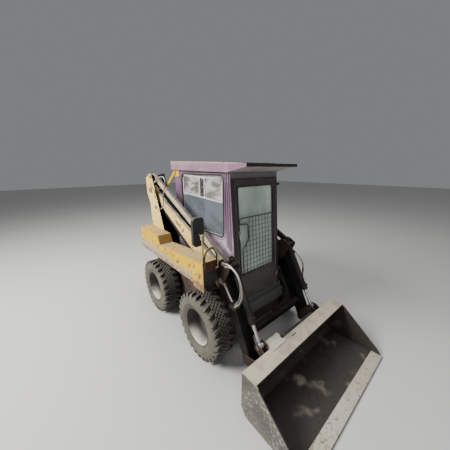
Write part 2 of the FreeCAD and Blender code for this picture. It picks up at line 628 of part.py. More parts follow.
# Levelling rods from the towers to the levers
tie_front = ("knee_y + tie_pin_y - boom_pin_y", "knee_z + tie_pin_z - boom_pin_z")
tie_bar = link("tie_bar", ("tie_pin_y", "tie_pin_z"), tie_front, "tie_in", "tie_out", "tie_depth")
tie_eyes = [
    pin("tie_rear_eye", "38", "tie_in", "tie_out", "tie_pin_y", "tie_pin_z"),
    pin("tie_front_eye", "38", "tie_in", "tie_out", tie_front[0], tie_front[1]),
]
tie_bores = [
    pin("tie_rear_bore", "pin_radius + running_gap", "tie_in - 1", "tie_out + 1", "tie_pin_y", "tie_pin_z"),
    pin("tie_front_bore", "pin_radius + running_gap", "tie_in - 1", "tie_out + 1", tie_front[0], tie_front[1]),
]
pair("tie_rods", cut("tie_solid", fuse("tie_whole", [tie_bar] + tie_eyes), tie_bores))

# Levers at the knees, each two plates joined by the knee pin and the rod's pin
tilt_top = ("knee_y + tilt_rise_y", "knee_z + tilt_rise_z")
tilt_foot = ("hinge_y + tilt_rise_y", "hinge_z + tilt_rise_z")
lever_outline = [
    ("knee_y + 52", "knee_z - 20"), ("knee_y + 18", "knee_z + 210"), ("knee_y - 22", "knee_z + 243"),
    ("knee_y - 75", "knee_z + 226"), ("knee_y - 136", "knee_z + 190"), ("knee_y - 133", "knee_z + 158"),
    ("knee_y - 50", "knee_z - 15"), ("knee_y - 25", "knee_z - 48"), ("knee_y + 25", "knee_z - 48"),
]
lever_parts = []
for part, x_low, x_high in (("inner", "lever_in", "lever_in + lever_plate_in"),
                            ("outer", "lever_out - lever_plate_out", "lever_out")):
    lever_parts.append(plate("lever_" + part, lever_outline, x_low, x_high,
                             [(tilt_top[0], tilt_top[1], "pin_radius + running_gap")]))
lever_parts.append(pin("knee_pin", "boom_pin_radius", "lever_in", "lever_out", "knee_y", "knee_z"))
lever_parts.append(pin("rod_pin", "pin_radius", "lever_in", "lever_out", tie_front[0], tie_front[1]))
pair("levers", fuse("lever_solid", lever_parts))
pair("tilt_pins", pin("tilt_pin", "pin_radius", "lever_in", "lever_out", tilt_top[0], tilt_top[1]))


def along(start, end, distance):
    """The point a distance from start towards end, in the (y, z) plane."""
    a = Vector(0, number(start[0]), number(start[1]))
    b = Vector(0, number(end[0]), number(end[1]))
    return a + (b - a).normalize() * distance


def span(name, radius, x, start, end, first, last):
    """A round bar on the line of two pins, from one distance to another."""
    a = along(start, end, first)
    b = along(start, end, last)
    item = doc.addObject("Part::Cylinder", name)
    item.setExpression("Radius", bound(radius))
    item.Height = last - first
    item.Placement = Placement(Vector(number(x), a.y, a.z), Rotation(Vector(0, 0, 1), b - a))
    return item


def cylinder(label, x, start, end, barrel_radius, barrel_length, rod_radius, rod_start, eye_radius, eye_half):
    """A hydraulic cylinder from its pin to its rod's eye: a bored barrel and a rod."""
    length = DIM[barrel_length]
    a = Vector(0, number(start[0]), number(start[1]))
    b = Vector(0, number(end[0]), number(end[1]))
    total = (b - a).Length
    x_low = x + " - " + eye_half
    x_high = x + " + " + eye_half
    whole = fuse(label + "_barrel_whole", [
        span(label + "_tube", barrel_radius, x, start, end, number(eye_radius), length),
        span(label + "_neck", eye_half + " - 7", x, start, end, number("pin_radius") + 5, number(eye_radius) + 30),
        span(label + "_gland", barrel_radius + " + 5", x, start, end, length - 50, length + 10),
        pin(label + "_base_eye", eye_radius, x_low, x_high, start[0], start[1]),
    ])
    hollow = [
        span(label + "_bore", barrel_radius + " - 8", x, start, end, number(eye_radius) + 40, length - 60),
        span(label + "_gland_bore", rod_radius + " + running_gap", x, start, end, length - 61, length + 11),
        pin(label + "_base_bore", "pin_radius + running_gap", x_low + " - 1", x_high + " + 1", start[0], start[1]),
    ]
    pair(label + "_barrels", cut(label + "_barrel_solid", whole, hollow))
    pair(label + "_rods", fuse(label + "_rod_solid", [
        span(label + "_rod", rod_radius, x, start, end, rod_start, total),
        pin(label + "_rod_eye", eye_radius, x + " - 23", x + " + 23", end[0], end[1]),
        pin(label + "_rod_pin", "pin_radius - 3", x + " - 27", x + " + 27", end[0], end[1]),
    ]))


cylinder("tilt", "tilt_x", tilt_top, tilt_foot, "tilt_barrel_radius", "tilt_barrel_length",
         "tilt_rod_radius", 330, "32", "29")
cylinder("lift", "0.5*arm_in + 0.5*arm_out", ("lift_pin_y", "lift_pin_z"), ("lift_eye_y", "lift_eye_z"),
         "lift_barrel_radius", "lift_barrel_length", "lift_rod_radius", 480, "40", "40")

# Hoses beside the legs, held by a bracket on each leg, with a steel pipe on the right one
LEG_HOSES = (  # name, radius, x, route as (y, z)
    ("right_inner", "hose_radius", "-hose_x", (
        (-455, 1178), (-545, 1190), (-632, 1158), (-688, 1090), (-710, 1000), (-690, 890), (-634, 806))),
    ("right_outer", "hose_radius", "-hose_x - 23", (
        (-520, 1172), (-600, 1196), (-690, 1150), (-742, 1050), (-748, 960), (-716, 870), (-645, 800))),
    ("right_pipe", "pipe_radius", "-hose_x + 8", ((-465, 963), (-540, 860), (-606, 794))),
    ("left", "hose_radius", "hose_x - 5", (
        (-420, 1085), (-500, 1020), (-590, 960), (-640, 890), (-650, 800), (-652, 660))),
)
leg_lines = {}
for part, radius, x, route in LEG_HOSES:
    leg_lines[part] = hose("leg_hose_" + part, radius, [(x, str(y), str(z)) for y, z in route])
clamp_right = box("clamp_right", ("-hose_x - 35", "-662", "782"), ("-arm_out - 12", "-590", "812"))
strap_right = box("strap_right", ("-arm_out - 12", "-662", "782"), ("-arm_out", "-500", "822"))
clamp_left = box("clamp_left", ("arm_out + 12", "-670", "640"), ("hose_x + 12", "-630", "672"))
strap_left = box("strap_left", ("arm_out", "-670", "640"), ("arm_out + 12", "-600", "672"))
node("leg_hoses_right", fuse("leg_hoses_right_solid", [
    leg_lines["right_inner"], leg_lines["right_outer"], leg_lines["right_pipe"], clamp_right, strap_right]))
node("leg_hoses_left", fuse("leg_hoses_left_solid", [leg_lines["left"], clamp_left, strap_left]))
tower_hose = hose("tower_hose", "hose_radius", [("tower_hose_x", str(y), str(z)) for y, z in (
    (1085, 1880), (930, 1955), (770, 1968), (715, 1880), (812, 1770), (842, 1580), (905, 1520), (985, 1518))])
tower_fittings = [
    pin("tower_fitting_top", "16", "tower_hose_x - 12", "tower_out - tower_plate", "1085", "1880"),
    pin("tower_fitting_low", "16", "tower_hose_x - 12", "tower_out - tower_plate", "985", "1518"),
]
pair("tower_hoses", fuse("tower_hose_solid", [tower_hose] + tower_fittings))

# Bucket: back, floor, sides and top plate, a stiffener and the ears of hinge and tilt pins
back = box("bucket_back", ("-bucket_half + bucket_plate", "bucket_back_y", "78"),
           ("bucket_half - bucket_plate", "bucket_back_y + bucket_plate", "bucket_top_z"))
bend = plate("bucket_bend", [
    ("bucket_back_y + bucket_plate", "78"), ("bucket_back_y", "78"), ("bucket_back_y - 48", "bucket_plate"),
    ("bucket_back_y - 48", "0")], "-bucket_half + bucket_plate", "bucket_half - bucket_plate")
floor_plate = box("bucket_floor", ("-bucket_half + bucket_plate", "bucket_lip_y", "0"),
                  ("bucket_half - bucket_plate", "bucket_back_y - 48", "bucket_plate"))
top_plate = box("bucket_top", ("-bucket_half + bucket_plate", "lip_plate_y", "bucket_top_z - bucket_plate"),
                ("bucket_half - bucket_plate", "bucket_back_y", "bucket_top_z"))
side_outline = [
    ("bucket_back_y - 48", "0"), ("bucket_back_y + bucket_plate", "78"),
    ("bucket_back_y + bucket_plate", "bucket_top_z"), ("lip_plate_y", "bucket_top_z"),
    ("bucket_lip_y + 60", "75"), ("bucket_lip_y", "0"),
]
bucket_sides = [plate("bucket_side_left", side_outline, "bucket_half - bucket_plate", "bucket_half"),
                plate("bucket_side_right", side_outline, "-bucket_half", "-bucket_half + bucket_plate")]
stiffener = box("bucket_stiffener", ("-400", "bucket_back_y + bucket_plate", "375"),
                ("400", "bucket_back_y + bucket_plate + 50", "405"))
node("bucket", fuse("bucket_solid", [back, bend, floor_plate, top_plate, stiffener] + bucket_sides))
ear_face = "bucket_back_y + bucket_plate"
hinge_bore = ("hinge_y", "hinge_z", "boom_pin_radius + running_gap")
tilt_bore = (tilt_foot[0], tilt_foot[1], "pin_radius")
ear_inner = plate("ear_inner", [
    (ear_face, "90"), (ear_face, "bucket_top_z"), ("-880", "470"), ("-840", "468"), ("-818", "430"),
    ("-716", "285"), ("-716", "232"), ("-745", "205"), ("-800", "205"), ("-900", "90")],
    "arm_in - 14", "arm_in - 4", [hinge_bore, tilt_bore])
ear_outer = plate("ear_outer", [
    (ear_face, "90"), (ear_face, "340"), ("-800", "310"), ("-745", "303"), ("-716", "285"),
    ("-716", "232"), ("-745", "205"), ("-800", "205"), ("-900", "90")],
    "arm_out + 4", "arm_out + 16", [hinge_bore])
ear_middle = plate("ear_middle", [
    (ear_face, "330"), (ear_face, "bucket_top_z"), ("-890", "466"), ("-845", "464"), ("-826", "440"),
    ("-832", "412"), ("-862", "396")],
    "tilt_x + 36", "tilt_x + 46", [tilt_bore])
ears = []
for ear in (ear_inner, ear_outer, ear_middle):
    ears += [ear, mirrored(ear.Name + "_mirror", ear)]
ear_group = doc.addObject("Part::Compound", "ear_group")
ear_group.Links = ears
node("bucket_ears", ear_group)
pair("bucket_pins", pin("bucket_pin", "boom_pin_radius", "arm_in - 14", "arm_out + 16", "hinge_y", "hinge_z"))

# Cab: floor, two side walls with a window opening, rear wall, front frame, roof and visor
node("cab_floor", box("floor_sheet", ("-tub_half + tub_wall", "tub_front_y + 15", "cab_floor_z"),
                      ("tub_half - tub_wall", "cab_rear_y", "cab_floor_z + 12")))


def rounded_hole(name, y_low, y_high, z_low, z_high, x_low, x_high):
    """A block across X with its four long edges rounded, for a window opening."""
    block = box(name + "_block", (x_low, y_low, z_low), (x_high, y_high, z_high))
    doc.recompute()
    radius = DIM["window_corner"]
    long_edges = [(index + 1, radius, radius) for index, edge in enumerate(block.Shape.Edges)
                  if abs(edge.tangentAt(edge.FirstParameter).x) > 0.9]
    item = doc.addObject("Part::Fillet", name)
    item.Base = block
    item.Edges = long_edges
    return item


side_wall = plate("side_wall", [
    ("-401", "cab_floor_z + 12"), ("cab_rear_y", "cab_floor_z + 12"), ("cab_rear_y", "eave_rear_z"),
    ("-277", "eave_front_z")], "cab_half - cab_wall", "cab_half")
side_opening = rounded_hole("side_opening", "window_front_y", "window_rear_y", "window_low_z", "window_top_z",
                            "cab_half - cab_wall - 5", "cab_half + 5")
both_sides("cab_side", cut("side_solid", side_wall, [side_opening]))
pair("side_windows", rounded_hole("side_pane", "window_front_y", "window_rear_y", "window_low_z", "window_top_z",
                                  "cab_half - 18", "cab_half - 18 + glass_thick"))
slider = plate("slider_sheet", [
    ("-150", "1968"), ("-190", "1925"), ("-190", "1708"), ("622", "1754"), ("622", "1950"), ("585", "1998")],
    "cab_half - 2 - slider_thick", "cab_half - 2")
slider_holes = []
for part, front_y, rear_y in (("front", "-190 + slider_bar", "gap_front_y - slider_bar"),
                              ("gap", "gap_front_y", "gap_rear_y"),
                              ("rear", "gap_rear_y + slider_bar", "622 - slider_bar")):
    slider_holes.append(plate("slider_" + part, [
        (front_y, "%.1f + slider_bar" % (1719 + 0.0567 * number(front_y))),
        (front_y, "%.1f - slider_bar" % min(1974 + 0.0408 * number(front_y), 1968)),
        (rear_y, "%.1f - slider_bar" % (1974 + 0.0408 * number(rear_y))),
        (rear_y, "%.1f + slider_bar" % (1719 + 0.0567 * number(rear_y)))],
        "cab_half - 4 - slider_thick", "cab_half"))
pair("window_frames", cut("slider_solid", slider, slider_holes))
rear_wall = box("rear_wall", ("-cab_half + cab_wall", "cab_rear_y - cab_wall", "cab_floor_z + 12"),
                ("cab_half - cab_wall", "cab_rear_y", "eave_rear_z - 3"))
rear_opening = box("rear_opening", ("-260", "cab_rear_y - cab_wall - 5", "1400"),
                   ("260", "cab_rear_y + 5", "1960"))
node("cab_rear", cut("rear_solid", rear_wall, [rear_opening]))
node("rear_window", box("rear_pane", ("-260", "cab_rear_y - 18", "1400"),
                        ("260", "cab_rear_y - 18 + glass_thick", "1960")))
roof_slab = plate("roof_slab", [
    ("-312", "eave_front_z"), ("roof_rear_y", "eave_rear_z + 2"), ("roof_rear_y", "roof_rear_z"),
    ("-312", "roof_front_z")], "-roof_half", "roof_half")
ceiling = box("ceiling", ("-cab_half + cab_wall", "-270", "1990"),
              ("cab_half - cab_wall", "cab_rear_y - cab_wall", "roof_front_z - 12"))
node("cab_roof", cut("roof_solid", roof_slab, [ceiling]))
node("cab_visor", plate("visor", [
    ("-312", "eave_front_z + 5"), ("-312", "roof_front_z"), ("-312 - visor_reach", "roof_front_z - 4"),
    ("-312 - visor_reach", "roof_front_z - 4 - visor_tip")], "-roof_half", "roof_half"))

brace_plate = box("brace_plate", ("cab_half", "700", "1965"), ("cab_half + 10", "820", "2045"))
brace_bar = link("brace_bar", ("790", "2030"), ("1100", "1790"), "tower_in - 14", "tower_in", "40")
brace_pad = box("brace_pad", ("cab_half + 10", "770", "2010"), ("tower_in - 14", "815", "2042"))
pair("cab_braces", fuse("brace_solid", [brace_plate, brace_pad, brace_bar]))


def leaning(item):
    """Set a piece made about the door's reference point onto the leaning front of the cab."""
    item.Placement = Placement(Vector(0, DIM["door_y"], DIM["door_ref_z"]),
                               Rotation(Vector(1, 0, 0), -DIM["rake"]))
    return item


frame_block = box("frame_block", ("-cab_half", "0", "cab_floor_z + 14 - door_ref_z"),
                  ("cab_half", "door_thick", "eave_front_z + 2 - door_ref_z"))
doorway = box("doorway", ("-door_half - door_gap", "-5", "cab_floor_z - 20 - door_ref_z"),
              ("door_half + door_gap", "door_thick + 5", "door_top_z + door_gap - door_ref_z"))
frame_hinges = []
door_hinges = []
for part, z in (("top", "560"), ("low", "-420")):
    frame_hinges += [
        knuckle("frame_knuckle_" + part, "door_hinge_x", "-hinge_radius - 1", z + " - hinge_length - 1", z + " - 1"),
        box("frame_strap_" + part, ("door_hinge_x + 2", "-8", z + " - hinge_length - 1"),
            ("cab_half - 13", "0", z + " - 1"))]
    door_hinges += [
        knuckle("door_knuckle_" + part, "door_hinge_x", "-hinge_radius - 1", z, z + " + hinge_length"),
        box("door_strap_" + part, ("door_half - 25", "-8", z), ("door_hinge_x", "0", z + " + hinge_length"))]
node("cab_front", leaning(fuse("front_solid", [cut("front_frame", frame_block, [doorway])] + frame_hinges)))

# Cab door: a frame with a solid lower panel, and its pane
door_block = box("door_block", ("-door_half", "0", "door_low_z - door_ref_z"),
                 ("door_half", "door_thick", "door_top_z - door_ref_z"))
door_light = box("door_light", ("-glass_half", "-5", "glass_low_z - door_ref_z"),
                 ("glass_half", "door_thick + 5", "glass_top_z - door_ref_z"))
node("cab_door", leaning(fuse("door_solid", [cut("door_leaf", door_block, [door_light])] + door_hinges)))
door_pane = doc.addObject("Part::Compound", "door_pane")
door_pane.Links = [box("door_pane_sheet", ("-glass_half", "12", "glass_low_z - door_ref_z"),
                       ("glass_half", "12 + glass_thick", "glass_top_z - door_ref_z"))]
node("door_glass", leaning(door_pane))

# Mesh guard in front of the door: a bent rim with two layers of wires, on four stubs
GUARD_ROUTE = (  # (x, z) round the rim, from its upper right corner to its lower right one
    (262, 357), (-262, 357), (-290, 335), (-290, 310), (-262, 288), (-165, 288), (-165, 107), (-256, 15),
    (-256, -283), (240, -283))
guard_rim = hose("guard_rim_tube", "guard_rim", [(str(x), "guard_y", str(z)) for x, z in GUARD_ROUTE], 25)
guard_parts = [guard_rim, rod("guard_edge", "guard_rim", ("262", "guard_y", "guard_top_z + guard_rim"),
                              ("240", "guard_y", "guard_low_z - guard_rim"))]
for index in range(8):
    x = -203 + 53 * index
    top = "288" if x < -165 else "guard_top_z"
    low = "guard_low_z"
    if x < -165:
        top = "%d" % (106 + x + 165)
    guard_parts.append(box("upright_%d" % index, (str(x), "guard_y - guard_wire", low),
                           ("%d + guard_wire" % x, "guard_y", top)))
for index in range(11):
    z = -230 + 53 * index
    left = -256
    if z > 15:
        left = -256 + z - 15
    if z > 107:
        left = -165
    if z > 288:
        left = -290
    right = 240 + 22 * (z + 283) / 640
    guard_parts.append(box("crosswire_%d" % index, ("%d" % left, "guard_y", "%d" % z),
                           ("%d" % right, "guard_y + guard_wire", "%d + guard_wire" % z)))
for part, x, z in (("top_left", "-240", "guard_top_z"), ("top_right", "240", "guard_top_z"),
                   ("low_left", "-230", "guard_low_z"), ("low_right", "215", "guard_low_z")):
    guard_parts.append(box("guard_stub_" + part, (x + " - 8", "guard_y", z + " - 5"), (x + " + 8", "0", z + " + 5")))
node("door_guard", leaning(fuse("guard_solid", guard_parts)))

# Seat and control levers inside the cab
node("seat_base", box("seat_box", ("-190", "250", "cab_floor_z + 12"), ("190", "600", "830")))
node("seat_cushion", box("cushion", ("-235", "190", "830"), ("235", "620", "930")))
node("seat_back", box("back_pad", ("-225", "620", "850"), ("225", "720", "1480")))
sticks = []
for side_name, x in (("left", "240"), ("right", "-240")):
    sticks.append(fuse("stick_" + side_name, [
        rod("stick_rod_" + side_name, "9", (x, "0", "cab_floor_z + 14"), (x, "40", "1080")),
        rod("stick_grip_" + side_name, "18", (x, "40", "1075"), (x, "46", "1190")),
        rod("stick_boot_" + side_name, "34", (x, "0", "cab_floor_z + 12"), (x, "0", "cab_floor_z + 42")),
    ]))
stick_group = doc.addObject("Part::Compound", "stick_group")
stick_group.Links = sticks
node("control_levers", stick_group)

# Engine bay: bulkhead, side panels with rear posts, hinged cover and hinged rear door
bulkhead_sheet = box("bulkhead_sheet", ("-deck_in", "cab_rear_y + 3", "cab_floor_z"),
                     ("deck_in", "cab_rear_y + 9", "hood_top_z - hood_thick - 4"))
cover_straps = []
cover_barrels = []
for part, x in (("left", "286"), ("right", "-286 - hinge_length")):
    cover_straps += [
        pin("bulkhead_barrel_" + part, "8", x, x + " + hinge_length", "cover_hinge_y", "cover_hinge_z"),
        box("bulkhead_strap_" + part, (x, "cab_rear_y + 3", "hood_top_z - 60"),
            (x + " + hinge_length", "cab_rear_y + 9", "cover_hinge_z + 4")),
        box("bulkhead_link_" + part, (x, "cab_rear_y + 9", "cover_hinge_z - 5"),
            (x + " + hinge_length", "cover_hinge_y", "cover_hinge_z + 4"))]
for part, x in (("left", "285 - hinge_length"), ("right", "-285")):
    cover_barrels += [
        pin("cover_barrel_" + part, "8", x, x + " + hinge_length", "cover_hinge_y", "cover_hinge_z"),
        box("cover_strap_" + part, (x, "cover_hinge_y", "hood_top_z"),
            (x + " + hinge_length", "cover_hinge_y + 45", "cover_hinge_z - 2"))]
node("bulkhead", fuse("bulkhead_solid", [bulkhead_sheet] + cover_straps))
bay_panel = box("bay_panel", ("tub_half - 10", "tower_rear_y + 45", "deck_z"),
                ("tub_half", "rear_door_y - 2", "hood_top_z - hood_thick - 4"))
bay_post = box("bay_post", ("tub_half - 24", "rear_door_y - 30", "deck_z"),
               ("tub_half", "rear_door_y - 2", "hood_top_z - hood_thick - 4"))
bay_strip = box("bay_strip", ("deck_in + 6", "tower_rear_y + 45", "hood_top_z - hood_thick - 4"),
                ("tub_half", "rear_door_y - 2", "hood_top_z"))
bay_hinges = []
leaf_hinges = []
for part, z in (("top", "1080"), ("low", "880")):
    bay_hinges += [
        knuckle("bay_knuckle_" + part, "rear_hinge_x", "rear_hinge_y", z + " - hinge_length - 1", z + " - 1"),
        box("bay_strap_" + part, ("rear_hinge_x + 6", "rear_door_y - 10", z + " - hinge_length - 1"),
            ("tub_half", "rear_hinge_y + 6", z + " - 1"))]
    leaf_hinges += [
        knuckle("leaf_knuckle_" + part, "rear_hinge_x", "rear_hinge_y", z, z + " + hinge_length"),
        box("leaf_strap_" + part, ("rear_hinge_x - 52", "rear_door_y + 30", z),
            ("rear_hinge_x", "rear_door_y + 36", z + " + hinge_length"))]
bay_side = fuse("bay_solid", [bay_panel, bay_post, bay_strip])
bay_mirror = mirrored("bay_mirror", bay_side)
bay_pair = doc.addObject("Part::Compound", "bay_pair")
bay_pair.Links = [fuse("bay_hinged", [bay_side] + bay_hinges), bay_mirror]
node("bay_sides", bay_pair)
hood_leaf = box("hood_leaf", ("-deck_in", "cab_rear_y + 15", "hood_top_z - hood_thick"),
                ("deck_in", "rear_door_y - 2", "hood_top_z"))
node("hood", fuse("hood_solid", [hood_leaf] + cover_barrels))
rear_leaf = box("rear_leaf", ("-rear_door_half", "rear_door_y", "rear_door_low_z"),
                ("rear_door_half", "rear_door_y + 30", "rear_door_top_z"))
slots = [box("slot_%d" % index, ("-300", "rear_door_y - 5", "640 + %d" % (60 * index)),
             ("300", "rear_door_y + 35", "665 + %d" % (60 * index))) for index in range(8)]
node("rear_door", fuse("rear_door_solid", [cut("louvred_leaf", rear_leaf, slots)] + leaf_hinges))

# Tail lamps on the decks
pair("tail_lamps", box("tail_lamp", ("500", "1425", "deck_z"), ("570", "1465", "deck_z + 110")))

doc.recompute()
for item in doc.Objects:
    if "Invalid" in item.State or "Error" in item.State:
        raise RuntimeError("%s is %s" % (item.Label, item.State))
for label, item in nodes:
    shape = item.Shape
    if shape.isNull() or not shape.isValid() or not shape.Solids:
        raise RuntimeError(label + " has no sound solid")
os.makedirs("parts", exist_ok=True)
for label, item in nodes:
    item.Shape.exportStep("parts/%s.step" % label)
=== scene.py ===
import math
import bpy
from mathutils import Matrix, Vector


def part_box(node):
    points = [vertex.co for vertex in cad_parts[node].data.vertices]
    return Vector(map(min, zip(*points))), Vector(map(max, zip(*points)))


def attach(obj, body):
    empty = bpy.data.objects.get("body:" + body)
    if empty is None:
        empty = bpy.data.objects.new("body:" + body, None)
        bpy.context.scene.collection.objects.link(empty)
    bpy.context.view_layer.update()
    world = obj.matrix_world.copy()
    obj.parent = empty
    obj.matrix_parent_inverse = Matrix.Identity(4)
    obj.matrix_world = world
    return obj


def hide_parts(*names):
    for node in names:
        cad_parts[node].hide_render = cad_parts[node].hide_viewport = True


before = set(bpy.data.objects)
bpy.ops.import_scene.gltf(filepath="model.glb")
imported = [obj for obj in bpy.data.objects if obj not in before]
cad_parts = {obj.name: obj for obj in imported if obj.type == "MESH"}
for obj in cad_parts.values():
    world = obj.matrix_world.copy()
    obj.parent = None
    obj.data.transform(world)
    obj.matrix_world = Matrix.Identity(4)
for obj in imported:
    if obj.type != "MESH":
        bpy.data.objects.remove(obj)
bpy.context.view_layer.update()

# Camera
# The loader is seen from its right front corner, a little above the roof, with a
# wide lens held close, as a hand-held camera sees it.
CAMERA_PLACE = (-1.7998, -1.9236, 2.0612)
CAMERA_YAW = math.radians(40.15)          # from straight back, toward the machine's left
CAMERA_PITCH = math.radians(14.69)        # looking down
CAMERA_ROLL = -0.00519
CAMERA_LENS = 17.08
CAMERA_SENSOR = 36.0

bpy.ops.object.select_all(action="DESELECT")
bpy.ops.object.camera_add()
camera = bpy.context.object
camera.name = "camera"
camera.data.lens = CAMERA_LENS
camera.data.sensor_width = CAMERA_SENSOR
camera.data.clip_end = 200
camera.matrix_world = (Matrix.Translation(CAMERA_PLACE) @ Matrix.Rotation(-CAMERA_YAW, 4, "Z")
                       @ Matrix.Rotation(math.pi / 2 - CAMERA_PITCH, 4, "X")
                       @ Matrix.Rotation(CAMERA_ROLL, 4, "Z"))
bpy.context.scene.camera = camera

# Floor and light
# A plain pale studio floor, a large soft light high on the left of the view, a
# weaker one above the machine and a faint one from the front.
FLOOR_SIZE = 60
FLOOR_COLOUR = (0.60, 0.59, 0.57, 1)
SKY_COLOUR = (0.80, 0.82, 0.85, 1)
SKY_STRENGTH = 0.26
LIGHTS = (  # name, place, aimed at, width, watts
    ("key_light", (-5.5, 2.0, 5.5), (0, 0.3, 0.9), 3.0, 900),
    ("top_light", (0.5, 0.5, 7.0), (0, 0.3, 0.9), 5.0, 240),
    ("front_light", (-2.5, -6.0, 3.0), (0, 0, 0.8), 4.0, 55),
)


def new_material(name):
    """A material with its node tree and its main shader."""
    material = bpy.data.materials.new(name)
    material.use_nodes = True
    return material, material.node_tree, material.node_tree.nodes["Principled BSDF"]


bpy.ops.mesh.primitive_plane_add(size=FLOOR_SIZE)
floor = bpy.context.object
floor.name = "floor"
floor_paint, _, floor_shader = new_material("floor_paint")
floor_shader.inputs["Base Color"].default_value = FLOOR_COLOUR
floor_shader.inputs["Roughness"].default_value = 0.8
floor.data.materials.append(floor_paint)

for name, place, aim, width, watts in LIGHTS:
    bpy.ops.object.light_add(type="AREA", location=place)
    light = bpy.context.object
    light.name = name
    light.data.size = width
    light.data.energy = watts
    light.rotation_euler = (Vector(aim) - Vector(place)).to_track_quat("-Z", "Y").to_euler()

world = bpy.data.worlds.new("studio")
bpy.context.scene.world = world
world.use_nodes = True
sky = world.node_tree.nodes["Background"]
sky.inputs["Color"].default_value = SKY_COLOUR
sky.inputs["Strength"].default_value = SKY_STRENGTH

# Chassis and what it carries
# A welded steel tub between the wheels with a cross beam in front and a cast weight
# behind, brush-painted dark and left to dust and rust. The shared effects of paint,
# dust, stains, chips and worn edges are made here, because this is the first paint.
CHASSIS_DARK = (0.035, 0.030, 0.026, 1)
CHASSIS_FADED = (0.085, 0.070, 0.055, 1)
RUST = (0.145, 0.060, 0.028, 1)
DRY_MUD = (0.30, 0.255, 0.205, 1)
# Oil stains; also painted shade on the towers
OIL_AND_SHADE_BLACK = (0.012, 0.010, 0.009, 1)
BEAM_GREEN = (0.125, 0.135, 0.115, 1)
CASTING_YELLOW = (0.42, 0.26, 0.06, 1)
BEAM_Y = (-0.385, -0.398)     # the cross beam lies ahead of this
BEAM_Z = (0.36, 0.40)         # and above this


def put(tree, kind, **values):
    """A shader node. Capitalised names are its sockets, small ones its settings."""
    node = tree.nodes.new("ShaderNode" + kind)
    for name, value in values.items():
        if name[0].islower():
            setattr(node, name, value)
        elif isinstance(value, bpy.types.NodeSocket):
            tree.links.new(value, node.inputs[name.replace("_", " ")])
        else:
            node.inputs[name.replace("_", " ")].default_value = value
    return node


def maths(tree, operation, *terms):
    """The output of a Math node."""
    node = put(tree, "Math", operation=operation)
    for socket, term in zip(node.inputs, terms):
        if isinstance(term, bpy.types.NodeSocket):
            tree.links.new(term, socket)
        else:
            socket.default_value = term
    return node.outputs[0]


def times(tree, product, *others):
    """The product of several values."""
    for other in others:
        product = maths(tree, "MULTIPLY", product, other)
    return product


def between(tree, value, low, high):
    """0 at low and 1 at high, eased between them."""
    node = put(tree, "MapRange", interpolation_type="SMOOTHSTEP", Value=value)
    node.inputs["From Min"].default_value = low
    node.inputs["From Max"].default_value = high
    return node.outputs["Result"]


def tint(tree, amount, first, second):
    """One colour laid over another."""
    node = put(tree, "Mix", data_type="RGBA", Factor=amount)
    for socket, colour in ((node.inputs[6], first), (node.inputs[7], second)):
        if isinstance(colour, bpy.types.NodeSocket):
            tree.links.new(colour, socket)
        else:
            socket.default_value = colour
    return node.outputs[2]


def noise(tree, scale, detail=3, stretch=(1, 1, 1), shift=0.0):
    """Noise on object coordinates."""
    place = put(tree, "Mapping", Vector=put(tree, "TexCoord").outputs["Object"],
                Location=(shift, shift, shift), Scale=stretch)
    return put(tree, "TexNoise", Vector=place.outputs[0], Scale=scale, Detail=detail).outputs[0]


def on_axis(tree, kind, axis):
    """A point's place ("Object") or a face's direction ("Normal") on an axis."""
    return put(tree, "SeparateXYZ", Vector=put(tree, "TexCoord").outputs[kind]).outputs[axis]


def ramp(kind, axis, low, high):
    """A maker of masks, 0 at low and 1 at high on an axis. "|X|" counts both ways alike."""
    def mask(tree):
        value = on_axis(tree, kind, axis.strip("|"))
        if axis[0] == "|":
            value = maths(tree, "ABSOLUTE", value)
        return between(tree, value, low, high)
    return mask


def lies(axis, low, high):
    """Masks from where a point lies, in metres."""
    return ramp("Object", axis, low, high)


def looks(axis, low, high):
    """Masks from where a face looks."""
    return ramp("Normal", axis, low, high)


def effect(name, build, **sizes):
    """A node group with number inputs and one output, Mask, which build makes."""
    tree = bpy.data.node_groups.new(name, "ShaderNodeTree")
    for label, size in sizes.items():
        tree.interface.new_socket(label, in_out="INPUT", socket_type="NodeSocketFloat").default_value = size
    tree.interface.new_socket("Mask", in_out="OUTPUT", socket_type="NodeSocketFloat")
    mask = build(tree, tree.nodes.new("NodeGroupInput").outputs)
    tree.links.new(mask, tree.nodes.new("NodeGroupOutput").inputs["Mask"])
    return tree


def rub_edges(tree, ins):
    """Where a rounded normal leaves the flat one, broken up by noise."""
    turned_away = put(tree, "VectorMath", operation="DOT_PRODUCT")
    tree.links.new(put(tree, "Bevel", samples=4, Radius=ins["Width"]).outputs[0], turned_away.inputs[0])
    tree.links.new(put(tree, "NewGeometry").outputs["Normal"], turned_away.inputs[1])
    rim = between(tree, turned_away.outputs["Value"], 0.995, 0.80)
    broken = between(tree, noise(tree, ins["Grain"], 5), 0.35, 0.62)
    return times(tree, rim, maths(tree, "ADD", broken, 0.25), ins["Amount"])


def settle_dust(tree, ins):
    """Thick on faces that look up, thin elsewhere."""
    drift = between(tree, noise(tree, ins["Grain"], 6), 0.3, 0.68)
    uneven = maths(tree, "MULTIPLY_ADD", drift, 0.55, 0.5)
    thick = times(tree, looks("Z", 0.1, 0.8)(tree), uneven, ins["Amount"])
    thin = times(tree, drift, ins["Walls"])
    return maths(tree, "MINIMUM", maths(tree, "ADD", thick, thin), 1.0)


def run_stains(tree, ins):
    """Streaks drawn down the walls."""
    streaks = between(tree, noise(tree, ins["Grain"], 4, (1, 1, 0.16), 3.1), 0.5, 0.72)
    cloud = between(tree, noise(tree, 2.2, 2, shift=7.7), 0.35, 0.65)
    return times(tree, streaks, cloud, ins["Amount"])


